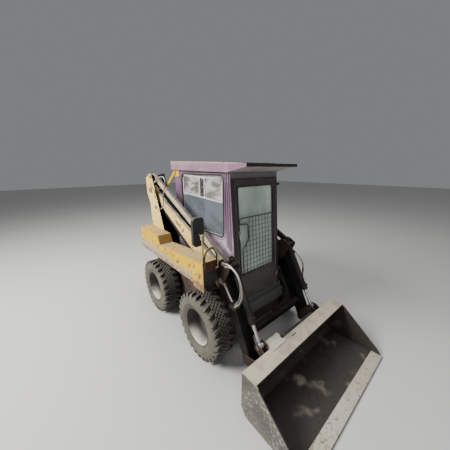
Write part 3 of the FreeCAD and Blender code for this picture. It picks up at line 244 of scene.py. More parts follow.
def chip_paint(tree, ins):
    """Small sharp-edged flakes gone, in clusters."""
    flakes = noise(tree, ins["Grain"], 7, (1, 1, 0.8), 1.3)
    height = maths(tree, "MULTIPLY_ADD", noise(tree, 3.4, 2, shift=5.5), 0.55, flakes)
    limit = maths(tree, "MULTIPLY_ADD", ins["Amount"], -0.36, 1.02)
    return between(tree, maths(tree, "SUBTRACT", height, limit), 0.0, 0.018)


worn_edges = effect("worn_edges", rub_edges, Width=0.006, Amount=1.0, Grain=30.0)
settled_dust = effect("settled_dust", settle_dust, Amount=1.0, Walls=0.2, Grain=6.0)
running_stains = effect("running_stains", run_stains, Amount=0.5, Grain=9.0)
chipped_paint = effect("chipped_paint", chip_paint, Amount=0.3, Grain=28.0)


def use(tree, group, **values):
    """The mask of one of the shared effects."""
    node = tree.nodes.new("ShaderNodeGroup")
    node.node_tree = group
    for name, value in values.items():
        node.inputs[name].default_value = value
    return node.outputs["Mask"]


def worn_paint(name, paint, faded, under, dust, dusty=0.6, walls=0.15, chips=0.3, grain=28.0, edges=0.7,
               stains=0.4, stain=OIL_AND_SHADE_BLACK, rough=0.55, metal=0.0, patches=2.5, shine=0.5):
    """Old paint: faded in patches, stained, chipped to what is under it and dusty on top."""
    material, tree, shader = new_material(name)
    fade = between(tree, noise(tree, patches, 5, shift=2.4), 0.38, 0.66)
    speckle = between(tree, noise(tree, 60, 3), 0.3, 0.75)
    colour = tint(tree, fade, paint, faded)
    colour = tint(tree, times(tree, speckle, 0.22), colour, under)
    colour = tint(tree, use(tree, running_stains, Amount=stains), colour, stain)
    flaked = use(tree, chipped_paint, Amount=chips, Grain=grain)
    rubbed = use(tree, worn_edges, Amount=edges)
    gone = maths(tree, "MAXIMUM", flaked, rubbed)
    colour = tint(tree, gone, colour, under)
    powder = use(tree, settled_dust, Amount=dusty, Walls=walls)
    colour = tint(tree, powder, colour, dust)
    tree.links.new(colour, shader.inputs["Base Color"])
    roughness = maths(tree, "MULTIPLY_ADD", maths(tree, "MAXIMUM", gone, powder), 0.9 - rough, rough)
    tree.links.new(maths(tree, "MULTIPLY_ADD", speckle, 0.08, roughness), shader.inputs["Roughness"])
    shader.inputs["Specular IOR Level"].default_value = shine
    if metal:
        bare = maths(tree, "SUBTRACT", 1.0, powder)
        tree.links.new(times(tree, gone, bare, metal), shader.inputs["Metallic"])
    relief = maths(tree, "SUBTRACT", times(tree, speckle, 0.25), flaked)
    bump = put(tree, "Bump", Strength=0.35, Distance=0.0012, Height=relief)
    tree.links.new(bump.outputs[0], shader.inputs["Normal"])
    return material


def layer(material, colour, *masks, amount=1.0, blotches=None):
    """Another colour over a finished paint where all masks are 1, broken up by blotches."""
    tree = material.node_tree
    socket = tree.nodes["Principled BSDF"].inputs["Base Color"]
    parts = [mask(tree) for mask in masks]
    if blotches:
        grain, low, high = blotches
        parts.append(between(tree, noise(tree, grain, 5, shift=4.4), low, high))
    if amount < 1:
        parts.append(amount)
    tree.links.new(tint(tree, times(tree, *parts), socket.links[0].from_socket, colour), socket)


def dress(material, *names):
    """Give CAD nodes their finish."""
    for name in names:
        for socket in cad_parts[name].material_slots:
            socket.material = material


chassis_paint = worn_paint("chassis_paint", CHASSIS_DARK, CHASSIS_FADED, RUST, DRY_MUD, dusty=0.7,
                           walls=0.07, chips=0.25, stains=0.5, rough=0.62, shine=0.25)
layer(chassis_paint, BEAM_GREEN, lies("Y", *BEAM_Y), lies("Z", *BEAM_Z), blotches=(5, 0.1, 0.45))
weight_paint = worn_paint("weight_paint", CASTING_YELLOW, CHASSIS_FADED, RUST, DRY_MUD, dusty=0.8, chips=0.5,
                          grain=18, rough=0.65)
dress(chassis_paint, "chassis", "chain_cases", "axle_front", "axle_rear", "engine", "cab_floor", "bulkhead")
dress(weight_paint, "counterweight")

# Rims
# Pressed steel wheels with a deep dish, once painted grey. Dust lies thick in the
# bottom of each barrel and on the flange, and the dish above it stays dark.
RIM_GREY = (0.055, 0.051, 0.046, 1)
RIM_FADED = (0.085, 0.079, 0.070, 1)
RIM_DUST = (0.74, 0.69, 0.60, 1)
DISH_X = 0.650                # the wheel's disc
WHEELS = ("front_left", "front_right", "rear_left", "rear_right")
rim_paint = worn_paint("rim_paint", RIM_GREY, RIM_FADED, CHASSIS_FADED, RIM_FADED, dusty=0.8,
                       walls=0.12, chips=0.2, rough=0.6)
layer(rim_paint, RIM_DUST, lies("|X|", DISH_X - 0.03, DISH_X + 0.09), looks("Z", 0.35, 0.95),
      blotches=(9, 0.2, 0.5))
dress(rim_paint, *["rim_" + place for place in WHEELS])

# Tyres
# Cross-ply loader tyres: a smooth rounded casing with a raised ring on the sidewall,
# slanted lugs over each shoulder and four rows of blocks between them. Dusty all over.
TYRE_RADIUS = 0.380
LUG_COUNT = 27
LUG_INNER = 0.052
LUG_OUTER = 0.117
LUG_WIDTH = 0.040
LUG_SKEW = 0.024
LUG_DEPTH = 0.030
LUG_BEVEL = 0.0022
BLOCK_SIZE = (0.023, 0.034, 0.030)
BLOCK_SKEW = 0.35
BLOCK_BEVEL = 0.0025
BLOCK_ROWS = (-0.0385, -0.0128, 0.0128, 0.0385)
CASING = (  # across from the middle, radius
    (0.097, 0.214), (0.112, 0.222), (0.121, 0.240), (0.1265, 0.258), (0.1305, 0.262), (0.1315, 0.272),
    (0.1290, 0.278), (0.1300, 0.292), (0.1285, 0.314), (0.1225, 0.336), (0.1120, 0.351), (0.0900, 0.3545),
    (0.045, 0.3555),
)
TYRE_SECTIONS = 108
RUBBER_DARK = (0.030, 0.028, 0.026, 1)
RUBBER_GREY = (0.085, 0.078, 0.070, 1)
TYRE_DUST = (0.155, 0.138, 0.101, 1)
# Painted shade for the hollows between the lugs, and how deep a hollow must be
GAP_SHADE_BLACK = (0.010, 0.009, 0.008, 1)
GAP_SHADE_DEPTH = 0.030


def add(kind, name, **size):
    """A new primitive, selected alone."""
    bpy.ops.object.select_all(action="DESELECT")
    getattr(bpy.ops.mesh, "primitive_%s_add" % kind)(**size)
    bpy.context.object.name = name
    return bpy.context.object


def choose(*pieces):
    """Select these pieces alone, with the first one active."""
    bpy.ops.object.select_all(action="DESELECT")
    for piece in pieces:
        piece.select_set(True)
    bpy.context.view_layer.objects.active = pieces[0]


def whole_mesh(tool, **settings):
    """Use a mesh tool on all of the active piece."""
    bpy.ops.object.mode_set(mode="EDIT")
    bpy.ops.mesh.select_all(action="SELECT")
    getattr(bpy.ops.mesh, tool)(**settings)
    bpy.ops.object.mode_set(mode="OBJECT")


def pick(piece, test):
    """Enter edit mode with only the faces that pass the test."""
    bpy.ops.object.mode_set(mode="EDIT")
    bpy.ops.mesh.select_mode(type="FACE")
    bpy.ops.mesh.select_all(action="DESELECT")
    bpy.ops.object.mode_set(mode="OBJECT")
    for face in piece.data.polygons:
        face.select = bool(test(face))
    bpy.ops.object.mode_set(mode="EDIT")


def turned(name, profile, centre, sections, axis="X"):
    """A shape turned about the X or Z axis, from its (along, radius) profile, ring by ring."""
    tilt = {"X": (0, math.pi / 2, 0), "Z": (0, 0, 0)}[axis]
    way = Vector({"X": (1, 0, 0), "Z": (0, 0, 1)}[axis])
    along, radius = profile[0]
    piece = add("circle", name, vertices=sections, radius=radius, location=Vector(centre) + way * along,
                rotation=tilt)
    bpy.ops.object.transform_apply()
    bpy.ops.object.mode_set(mode="EDIT")
    bpy.ops.mesh.select_mode(type="VERT")
    bpy.ops.mesh.select_all(action="SELECT")
    for (here, before), (there, after) in zip(profile, profile[1:]):
        bpy.ops.mesh.extrude_region_move(TRANSFORM_OT_translate={"value": way * (there - here)})
        grow = after / before
        bpy.ops.transform.resize(value=(grow, grow, grow), center_override=Vector(centre) + way * there)
    bpy.ops.object.mode_set(mode="OBJECT")
    return piece


def join(pieces, name):
    """One object of several."""
    choose(*pieces)
    bpy.ops.object.join()
    pieces[0].name = name
    return pieces[0]


def copy_of(piece, name):
    """Another piece with its own mesh."""
    twin = piece.copy()
    twin.data = piece.data.copy()
    twin.name = name
    bpy.context.collection.objects.link(twin)
    return twin


def to_side(piece, side, across):
    """Move a piece made for the left side out by across, mirrored where side is -1."""
    if side < 0:
        piece.data.transform(Matrix.Scale(-1, 4, (1, 0, 0)))
        piece.data.flip_normals()
    piece.data.transform(Matrix.Translation((side * across, 0, 0)))
    return piece


def middle_of(low, high):
    """The middle between two corners."""
    return [(p + q) / 2 for p, q in zip(low, high)]


def settle(piece, material, body, smooth=35, merge=0.0):
    """Finish a piece: its place goes into its mesh, it is shaded, painted and rides on a body."""
    choose(piece)
    bpy.ops.object.transform_apply()
    if merge:
        whole_mesh("remove_doubles", threshold=merge)
    whole_mesh("normals_make_consistent", inside=False)
    bpy.ops.object.shade_smooth_by_angle(angle=math.radians(smooth))
    piece.data.materials.clear()
    piece.data.materials.append(material)
    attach(piece, body)


def spun_copies(piece, count, first=0.0):
    """Copies of a piece round the X axis through the origin, with the piece itself."""
    ring = [piece]
    for index in range(1, count):
        twin = copy_of(piece, piece.name)
        twin.data.transform(Matrix.Rotation(2 * math.pi * index / count, 4, "X"))
        ring.append(twin)
    if first:
        for twin in ring:
            twin.data.transform(Matrix.Rotation(first, 4, "X"))
    return ring


def shoulder_lug():
    """One lug at the top of the tyre's left shoulder: a slanted bar that runs down the sidewall."""
    length = LUG_OUTER - LUG_INNER
    middle = (LUG_OUTER + LUG_INNER) / 2
    lug = add("cube", "lug", size=1, location=(middle, 0, TYRE_RADIUS - 0.016),
              scale=(length, LUG_WIDTH, LUG_DEPTH))
    bpy.ops.object.transform_apply()
    pick(lug, lambda face: face.normal.x > 0.9)
    bpy.ops.mesh.extrude_region_move(TRANSFORM_OT_translate={"value": (0.0085, 0, -0.026)})
    bpy.ops.transform.resize(value=(1, 0.92, 0.8), center_override=(LUG_OUTER, 0, TYRE_RADIUS - 0.045))
    bpy.ops.mesh.extrude_region_move(TRANSFORM_OT_translate={"value": (0.003, 0, -0.024)})
    foot = (LUG_OUTER - 0.001, 0, TYRE_RADIUS - 0.075)
    bpy.ops.transform.resize(value=(0.7, 0.8, 0.6), center_override=foot)
    bpy.ops.object.mode_set(mode="OBJECT")
    for corner in lug.data.vertices:
        corner.co.y += LUG_SKEW * (middle - min(corner.co.x, LUG_OUTER)) / length
    pick(lug, lambda face: face.normal.z > 0.6)
    bpy.ops.mesh.bevel(offset=LUG_BEVEL, segments=1, affect="EDGES")
    bpy.ops.object.mode_set(mode="OBJECT")
    return lug


def tread_block(across):
    """One block of the rows between the lugs, at the top of the tyre."""
    block = add("cube", "block", size=1, location=(across, 0, TYRE_RADIUS - 0.0165), scale=BLOCK_SIZE)
    bpy.ops.object.transform_apply()
    for corner in block.data.vertices:
        corner.co.y += BLOCK_SKEW * (across - corner.co.x)
    pick(block, lambda face: face.normal.z > 0.9)
    bpy.ops.mesh.bevel(offset=BLOCK_BEVEL, segments=1, affect="EDGES")
    bpy.ops.object.mode_set(mode="OBJECT")
    return block


def whole_tyre():
    """A tyre about the X axis through the origin."""
    profile = CASING + tuple((-across, radius) for across, radius in reversed(CASING))
    casing = turned("casing", profile + (CASING[0],), (0, 0, 0), TYRE_SECTIONS)
    whole_mesh("remove_doubles", threshold=0.0004)
    whole_mesh("normals_make_consistent", inside=False)
    pitch = 2 * math.pi / LUG_COUNT
    pieces = [casing] + spun_copies(shoulder_lug(), LUG_COUNT)
    pieces += spun_copies(to_side(shoulder_lug(), -1, 0), LUG_COUNT, pitch / 2)
    for row, across in enumerate(BLOCK_ROWS):
        pieces += spun_copies(tread_block(across), 2 * LUG_COUNT, pitch * 0.25 * (row % 2 + 0.4))
    return join(pieces, "tyre")


def tyre_rubber():
    """Dusty rubber: beige on the sidewalls and the lugs' faces, with painted shade between the lugs."""
    material, tree, shader = new_material("tyre_rubber")
    sidewall = looks("|X|", 0.35, 0.85)(tree)
    upper = looks("Z", -0.2, 0.75)(tree)
    blotch = between(tree, noise(tree, 5, 6), 0.3, 0.7)
    grains = between(tree, noise(tree, 140, 2), 0.35, 0.7)
    colour = tint(tree, blotch, RUBBER_DARK, RUBBER_GREY)
    amount = maths(tree, "MAXIMUM", times(tree, sidewall, 0.85), times(tree, upper, 0.5))
    soiled = times(tree, amount, maths(tree, "MULTIPLY_ADD", blotch, 0.35, 0.65),
                   maths(tree, "MULTIPLY_ADD", grains, 0.3, 0.8))
    colour = tint(tree, soiled, colour, TYRE_DUST)
    # Painted shade: near-black wherever ambient occlusion finds a hollow between the lugs
    open_air = put(tree, "AmbientOcclusion", samples=6, only_local=True, Distance=GAP_SHADE_DEPTH).outputs["AO"]
    colour = tint(tree, between(tree, open_air, 0.85, 0.42), colour, GAP_SHADE_BLACK)
    tree.links.new(colour, shader.inputs["Base Color"])
    shader.inputs["Roughness"].default_value = 0.9
    bump = put(tree, "Bump", Strength=0.4, Distance=0.001, Height=grains)
    tree.links.new(bump.outputs[0], shader.inputs["Normal"])
    return material


AXLE_Z = middle_of(*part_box("rim_front_left"))[2]
rubber = tyre_rubber()
first_tyre = whole_tyre()
for place in WHEELS:
    x, y, _ = middle_of(*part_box("tyre_" + place))
    piece = to_side(copy_of(first_tyre, "dressed_tyre_" + place), math.copysign(1, x), abs(x))
    piece.data.transform(Matrix.Translation((0, y, AXLE_Z)))
    settle(piece, rubber, "wheel_" + place, 40)
    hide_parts("tyre_" + place)
bpy.data.objects.remove(first_tyre)

# Fenders
# Bent sheet boxes over the tyres, yellow, with the paint worn to a pinkish primer along
# their lower edges and their tops under brown dust. Inside and below, painted shade
# makes them black.
FENDER_YELLOW = (0.80, 0.475, 0.001, 1)
FENDER_PALE = (0.74, 0.46, 0.012, 1)
PRIMER_PINK = (0.24, 0.135, 0.095, 1)
TOP_DUST = (0.310, 0.245, 0.165, 1)
# Painted shade under and inside the fenders; also the side plug's own black
SHADE_AND_PLUG_BLACK = (0.009, 0.008, 0.0075, 1)
END_BROWN = (0.085, 0.035, 0.025, 1)
SIDE_GREY = (0.42, 0.35, 0.22, 1)
HOOP_OLIVE = (0.165, 0.125, 0.045, 1)
HOOP_CREAM = (0.46, 0.38, 0.22, 1)
FENDER_OUT = -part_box("fender_right")[0][0]
HOOP_Y = (-0.3862, -0.3866)      # the hoop stands ahead of this, the fender's end behind it
HOOP_X = (-0.66, -0.64)          # its inner post
NOSE_END_Y = (-0.212, -0.206)    # where the nose plate meets the side
REAR_BOX_Y = (0.60, 0.66)
RUBBED_Z = (1.135, 1.105)
PRIMER_Z = (1.03, 0.95)


def rubbed_side(tree):
    """The ragged lower part of the sides, higher on the rear box."""
    rags = noise(tree, 12, 7, (1, 1, 0.5), 6.2)
    ragged = maths(tree, "MULTIPLY_ADD", rags, 0.20, on_axis(tree, "Object", "Z"))
    height = maths(tree, "MULTIPLY_ADD", lies("Y", *REAR_BOX_Y)(tree), -0.06, ragged)
    return between(tree, height, *RUBBED_Z)


def bar(name, start, end, radius, sections):
    """A round bar between two points."""
    way = Vector(end) - Vector(start)
    piece = add("cylinder", name, vertices=sections, radius=radius, depth=way.length)
    middle = (Vector(start) + Vector(end)) / 2
    piece.data.transform(Matrix.Translation(middle) @ way.to_track_quat("Z", "Y").to_matrix().to_4x4())
    return piece


def block(name, low, high, edge=0.0):
    """A box between two corners, with its edges rounded by edge."""
    piece = add("cube", name, size=1, location=middle_of(low, high), scale=[b - a for a, b in zip(low, high)])
    bpy.ops.object.transform_apply()
    if edge:
        whole_mesh("bevel", offset=edge, segments=2, affect="EDGES")
    return piece


def tube(name, points, radius):
    """A tube along a smooth line through given points."""
    curve = bpy.data.curves.new(name, "CURVE")
    curve.dimensions = "3D"
    curve.bevel_depth = radius
    curve.bevel_resolution = 3
    line = curve.splines.new("NURBS")
    line.points.add(len(points) - 1)
    for knot, place in zip(line.points, points):
        knot.co = (*place, 1)
    line.order_u = 3
    line.use_endpoint_u = True
    piece = bpy.data.objects.new(name, curve)
    bpy.context.collection.objects.link(piece)
    choose(piece)
    bpy.ops.object.convert(target="MESH")
    return bpy.context.object


def top_of(node, x, y):
    """The height of a CAD node's upper surface."""
    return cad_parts[node].ray_cast((x, y, 5.0), (0, 0, -1))[1].z


def bolt(at, way, size):
    """A hexagon head on its washer, standing on a face that looks along way."""
    way = Vector(way)
    at = Vector(at)
    washer = bar("washer", at - way * 0.002, at + way * size * 0.2, size * 1.25, 14)
    head = bar("head", at, at + way * size * 0.9, size, 6)
    return join([washer, head], "bolt")


fender_paint = worn_paint("fender_paint", FENDER_YELLOW, FENDER_PALE, PRIMER_PINK, TOP_DUST, dusty=0.86,
                          walls=0.04, chips=0.46, grain=22, edges=0.9, stains=0.35, stain=END_BROWN,
                          rough=0.5, shine=0.12)
layer(fender_paint, SIDE_GREY, rubbed_side, lies("Y", *NOSE_END_Y), blotches=(30, 0.25, 0.5))
layer(fender_paint, PRIMER_PINK, lies("Z", *PRIMER_Z), blotches=(26, 0.4, 0.55))
layer(fender_paint, HOOP_OLIVE, lies("Y", *HOOP_Y))
layer(fender_paint, HOOP_CREAM, lies("Y", *HOOP_Y), lies("X", *HOOP_X))
# The forward faces of the fender ends behind the hoop are dark brown: the end plates' brown, darkened as
# painted shade
layer(fender_paint, END_BROWN, looks("Y", -0.8, -0.95), lies("Y", *reversed(HOOP_Y)))
# Painted shade: the fenders' downward faces and the inner faces of their skirts are coloured black
layer(fender_paint, SHADE_AND_PLUG_BLACK, looks("Z", -0.2, -0.5))
layer(fender_paint, SHADE_AND_PLUG_BLACK, lies("|X|", FENDER_OUT - 0.0005, FENDER_OUT - 0.003),
      looks("Z", 0.3, 0.2), looks("|Y|", 0.95, 0.8))
dress(fender_paint, "fender_left", "fender_right")

# Edge beads and bolts of both fenders, and the nose plate, nose edge and plug of the right one
NOSE_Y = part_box("fender_right")[0][1] + 0.021
NOSE_LENGTH = 0.175
BEAD_Z = 0.947
SIDE_BOLT_Z = 1.07
TOP_BOLT_INSET = 0.145
PLUG_PLACE = (0.625, 1.105)
FENDER_FRONTS = (NOSE_Y - 0.001 + NOSE_LENGTH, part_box("fender_left")[0][1])
FENDER_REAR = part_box("fender_right")[1][1]
SIDES = ((-1, "right"), (1, "left"))
for (side, name), front in zip(SIDES, FENDER_FRONTS):
    out = side * FENDER_OUT
    bead = bar("fender_bead", (out, front, BEAD_Z), (out, FENDER_REAR - 0.004, BEAD_Z), 0.005, 10)
    inner = side * (FENDER_OUT - TOP_BOLT_INSET)
    heads = [bolt((inner, y, top_of("fender_" + name, inner, y)), (0, 0, 1), 0.009)
             for y in (0.02, 0.24, 0.45, 0.72, 1.10)]
    heads += [bolt((out + side * 0.001, y, SIDE_BOLT_Z), (side, 0, 0), 0.008) for y in (0.10, 0.66, 1.16)]
    settle(join([bead] + heads, "fender_trim_" + name), fender_paint, "root")
steel_plug = worn_paint("steel_plug", SHADE_AND_PLUG_BLACK, END_BROWN, END_BROWN, TOP_DUST, dusty=0.4, walls=0.05)
nose_seam = block("nose_seam", (-FENDER_OUT - 0.0022, NOSE_Y, 0.903),
                  (-FENDER_OUT, NOSE_Y + NOSE_LENGTH, 1.188), 0.0008)
settle(nose_seam, fender_paint, "root")
plug = bar("side_plug", (-FENDER_OUT, *PLUG_PLACE), (-FENDER_OUT - 0.004, *PLUG_PLACE), 0.012, 20)
settle(plug, steel_plug, "root")
nose_edge = bar("nose_edge", (0.003 - FENDER_OUT, NOSE_Y, 0.905), (0.003 - FENDER_OUT, NOSE_Y, 1.186),
                0.0045, 10)
cream_paint = worn_paint("cream_paint", HOOP_CREAM, FENDER_PALE, SIDE_GREY, TOP_DUST, dusty=0.5, walls=0.05,
                         edges=0.4, shine=0.25)
settle(nose_edge, cream_paint, "root")

# Hubs and wheel nuts
# Each wheel is held by eight nuts on studs round a pressed hub cap, with a rubber valve
# in the barrel. All of it is under the same dust as the rim.
DISC_INWARD = 0.038        # from the rim's middle to the disc
NUT_CIRCLE = 0.104
NUT_COUNT = 8
CAP_PROFILE = ((0, 0.066), (0.004, 0.068), (0.020, 0.062), (0.028, 0.050), (0.031, 0.030), (0.032, 0.003))
for place in WHEELS:
    x, y, z = middle_of(*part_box("rim_" + place))
    side = math.copysign(1, x)
    face = x - side * DISC_INWARD
    parts = []
    for index in range(NUT_COUNT):
        turn = 2 * math.pi * index / NUT_COUNT
        foot = Vector((face, y + NUT_CIRCLE * math.cos(turn), z + NUT_CIRCLE * math.sin(turn)))
        parts += [bolt(foot, (side, 0, 0), 0.013),
                  bar("stud", foot, foot + Vector((side * 0.020, 0, 0)), 0.006, 10)]
    cap = to_side(turned("cap", CAP_PROFILE, (0, y, z), 28), side, abs(face))
    stem = Vector((face, y + 0.150, z + 0.062))
    valve = bar("valve", stem, stem + Vector((side * 0.038, 0.004, 0.003)), 0.006, 10)
    settle(join(parts + [cap, valve], "hub_" + place), rim_paint, "wheel_" + place)

# Towers
# Two plates a side from the decks up to the boom's pins, pale cream and chalky, with
# brown runs below the pins.
TOWER_CREAM = (0.90, 0.62, 0.15, 1)
TOWER_CHALK = (0.92, 0.71, 0.27, 1)
RUN_BROWN = (0.16, 0.09, 0.045, 1)
TOWER_GAP = (0.400, 0.600)       # between a tower's two plates
STEEL_BROWN = (0.16, 0.14, 0.12, 1)
STEEL_DARK = (0.09, 0.07, 0.055, 1)
STEEL_BRIGHT = (0.30, 0.27, 0.23, 1)
tower_paint = worn_paint("tower_paint", TOWER_CREAM, TOWER_CHALK, RUN_BROWN, TOP_DUST, dusty=0.8, walls=0.05,
                         chips=0.28, grain=18, stains=0.5, stain=RUN_BROWN, rough=0.6, shine=0.2)
# Painted shade: the towers' forward faces, and the faces between each tower's two plates, are coloured
# near-black
layer(tower_paint, OIL_AND_SHADE_BLACK, looks("Y", -0.5, -0.9))
layer(tower_paint, OIL_AND_SHADE_BLACK, lies("|X|", TOWER_GAP[0] + 0.0005, TOWER_GAP[0] + 0.002),
      lies("|X|", TOWER_GAP[1] - 0.0005, TOWER_GAP[1] - 0.002), looks("Y", 0.9, 0.5))
dress(tower_paint, "tower_left", "tower_right")

# Pin heads on the towers, each held by a small lock plate and bolt
BOOM_PIN = (1.182, 1.770)
TIE_PIN = (1.150, 1.965)
LIFT_PIN = (1.030, 1.540)
TOWER_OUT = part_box("tower_left")[1][0]


def pin_head(side, across, place, radius, name):
    """The end of a pin with its lock plate, on a face that looks sideways."""
    y, z = place
    end = turned(name, ((0, radius * 0.98), (0.006, radius), (0.010, radius * 0.9), (0.0101, 0.004)),
                 (0, y, z), 24)
    key = block("lock_plate", (0, y - radius * 1.5, z - radius * 0.95),
                (0.005, y - radius * 0.55, z + radius * 0.3), 0.001)
    head = bolt((0.005, y - radius * 1.15, z - radius * 0.3), (1, 0, 0), 0.007)
    return to_side(join([end, key, head], name), side, across)


steel_bare = worn_paint("steel_bare", STEEL_BROWN, STEEL_DARK, STEEL_BRIGHT, TOP_DUST, dusty=0.8, walls=0.2,
                        chips=0.35, stains=0.5, stain=OIL_AND_SHADE_BLACK, rough=0.45, metal=0.7)
for side, name in SIDES:
    heads = [pin_head(side, TOWER_OUT, place, radius, "tower_pin")
             for place, radius in ((BOOM_PIN, 0.036), (TIE_PIN, 0.024), (LIFT_PIN, 0.026))]
    settle(join(heads, "tower_pins_" + name), steel_bare, "root")

# Boom
# Box-section arms that run down past the cab and drop at the knee. Their sides keep a
# cream-yellow paint with rusty spots, the tops are grey with dust, and the legs below
# the knee are near-black. Painted shade darkens the undersides, a strip of each top
# beside the tie bar, and the left arm.
ARM_CREAM = (0.88, 0.60, 0.14, 1)
ARM_PALE = (0.92, 0.71, 0.30, 1)
SPOT_BROWN = (0.27, 0.125, 0.035, 1)
GREY_DUST = (0.255, 0.225, 0.185, 1)
TOP_GREY = (0.100, 0.088, 0.072, 1)
# The legs' near-black and brown; also the colours of painted shade on the arms and tie bars
LEG_AND_SHADE_BLACK = (0.004, 0.0035, 0.0035, 1)
LEG_AND_SHADE_BROWN = (0.016, 0.013, 0.011, 1)
CRANK_BROWN = (0.034, 0.023, 0.017, 1)
KNEE_Y = -0.385
ARM_RIDGE = 0.512          # the arm's top is dark on the machine's side of this
LEFT_ARM_X = (0.40, 0.41)  # the left arm shows only its shaded inner side
LEG_Y = (KNEE_Y + 0.13, KNEE_Y + 0.03)


def patchy(material, first, second, grain):
    """A colour for a layer: two colours in patches."""
    tree = material.node_tree
    return tint(tree, between(tree, noise(tree, grain, 6), 0.3, 0.7), first, second)


arm_paint = worn_paint("arm_paint", ARM_CREAM, ARM_PALE, SPOT_BROWN, GREY_DUST, dusty=1.0, walls=0.04,
                       chips=0.30, grain=16, edges=0.8, stains=0.45, stain=SPOT_BROWN, shine=0.2)
# Painted shade: the arms' downward faces are coloured dark brown
layer(arm_paint, LEG_AND_SHADE_BROWN, looks("Z", -0.15, -0.45))
# The legs below the knee are near-black in patches
layer(arm_paint, patchy(arm_paint, LEG_AND_SHADE_BLACK, LEG_AND_SHADE_BROWN, 7), lies("Y", *LEG_Y))
# Painted shadow: a near-black strip on each arm's top, on the machine's side of the ridge, where the tie
# bar's shadow falls
layer(arm_paint, LEG_AND_SHADE_BLACK, looks("Z", 0.25, 0.5), lies("|X|", ARM_RIDGE + 0.002, ARM_RIDGE - 0.002))
# Painted shade: the left arm, which shows only its inner side, is darkened toward black
layer(arm_paint, LEG_AND_SHADE_BLACK, lies("X", *LEFT_ARM_X), amount=0.75)
# Painted shade: the cross tube and its welds are near-black, standing for the shade below the cross beam
tube_shade_paint = worn_paint("tube_shade_paint", LEG_AND_SHADE_BLACK, LEG_AND_SHADE_BROWN, CRANK_BROWN, TOP_GREY, dusty=0.15, walls=0.02,
                       chips=0.10, edges=0.2, rough=0.6, shine=0.1)
dress(arm_paint, "arm_left", "arm_right")
dress(tube_shade_paint, "arm_cross_tube")

# Weld beads of the cross tube
ARM_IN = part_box("arm_left")[0][0]
TUBE_AXIS = middle_of(*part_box("arm_cross_tube"))[1:]
WELD_PROFILE = ((0, 0.052), (-0.004, 0.0505), (-0.009, 0.0435), (0, 0.0435), (0, 0.052))
for side, _ in SIDES:
    weld = to_side(turned("tube_weld", WELD_PROFILE, (0, *TUBE_AXIS), 24), side, ARM_IN)
    settle(weld, tube_shade_paint, "boom", merge=0.0003)

# Tie rods and levers
# The level linkage beside each arm: a flat bar from the tower to a bell crank at the
# knee. The bars are beige with dust on top and grey on their sides, the cranks brown.
BAR_GREY = (0.070, 0.063, 0.052, 1)
BAR_BEIGE = (0.50, 0.41, 0.27, 1)
BAR_DUST = (0.155, 0.140, 0.120, 1)
OUTER_BAR_X = (-0.54, -0.548)
bar_paint = worn_paint("bar_paint", BAR_GREY, LEG_AND_SHADE_BROWN, RUST, BAR_DUST, dusty=1.1, walls=0.06, chips=0.2,
                       rough=0.6)
layer(bar_paint, BAR_BEIGE, lies("X", *OUTER_BAR_X), blotches=(8, 0.2, 0.5))
# Painted shade: the left tie bars are darkened toward black like the left arm
layer(bar_paint, LEG_AND_SHADE_BLACK, lies("X", *LEFT_ARM_X), amount=0.8)
crank_paint = worn_paint("crank_paint", CRANK_BROWN, LEG_AND_SHADE_BLACK, RUST, TOP_GREY, dusty=0.4, walls=0.04,
                         chips=0.12, rough=0.6, shine=0.3)
dress(bar_paint, "tie_rods")
dress(crank_paint, "levers", "tilt_pins", "bucket_pins", "bucket_ears")

# Pin caps of the linkage: knee pins on the cranks, tie pins on the bars' front ends
LEVER_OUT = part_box("levers")[1][0]
KNEE_PIN = (KNEE_Y, 0.958)
TIE_FRONT = (KNEE_PIN[0] + TIE_PIN[0] - BOOM_PIN[0], KNEE_PIN[1] + TIE_PIN[1] - BOOM_PIN[1])
for side, name in SIDES:
    caps = [pin_head(side, LEVER_OUT, KNEE_PIN, 0.030, "knee_cap"),
            pin_head(side, LEVER_OUT, TIE_FRONT, 0.020, "tie_cap")]
    settle(join(caps, "crank_caps_" + name), steel_bare, "levers")

# Cylinders
# Two lift and two tilt cylinders: black barrels with a film of dry dust, and hard
# chrome rods under a patchy pale film.
BARREL_BLACK = (0.011, 0.010, 0.0095, 1)
BARREL_WORN = (0.024, 0.021, 0.019, 1)
CHROME = (0.62, 0.61, 0.59, 1)
barrel_paint = worn_paint("barrel_paint", BARREL_BLACK, BARREL_WORN, CRANK_BROWN, TOP_GREY, dusty=0.3,
                          walls=0.03, chips=0.15, rough=0.5, shine=0.2)
chrome, tree, shader = new_material("rod_chrome")
film = between(tree, noise(tree, 14, 5), 0.52, 0.85)
tree.links.new(tint(tree, film, CHROME, BAR_BEIGE), shader.inputs["Base Color"])
tree.links.new(maths(tree, "MULTIPLY_ADD", film, 0.4, 0.18), shader.inputs["Roughness"])
tree.links.new(maths(tree, "SUBTRACT", 1.0, film), shader.inputs["Metallic"])
dress(barrel_paint, "tilt_barrels", "lift_barrels")
dress(chrome, "tilt_rods", "lift_rods")

# Gland nuts at the rod ends of the tilt barrels, and their ports
TILT_START = (-0.480, 1.133)
TILT_WAY = Vector((0, -0.380, -0.703)).normalized()
TILT_X = 0.472
PORT_WAY = Vector((0, -0.880, 0.476))
GLAND_AT = 0.555
PORTS_AT = (0.11, 0.53)


def gland(across, radius, along, length):
    """A round nut with a lip at a barrel's rod end."""
    start = Vector((across, *TILT_START)) + TILT_WAY * along
    end = start + TILT_WAY * length
    lip = bar("lip", end, end + TILT_WAY * 0.008, radius * 0.8, 20)
    return join([bar("gland", start, end, radius, 20), lip], "gland")


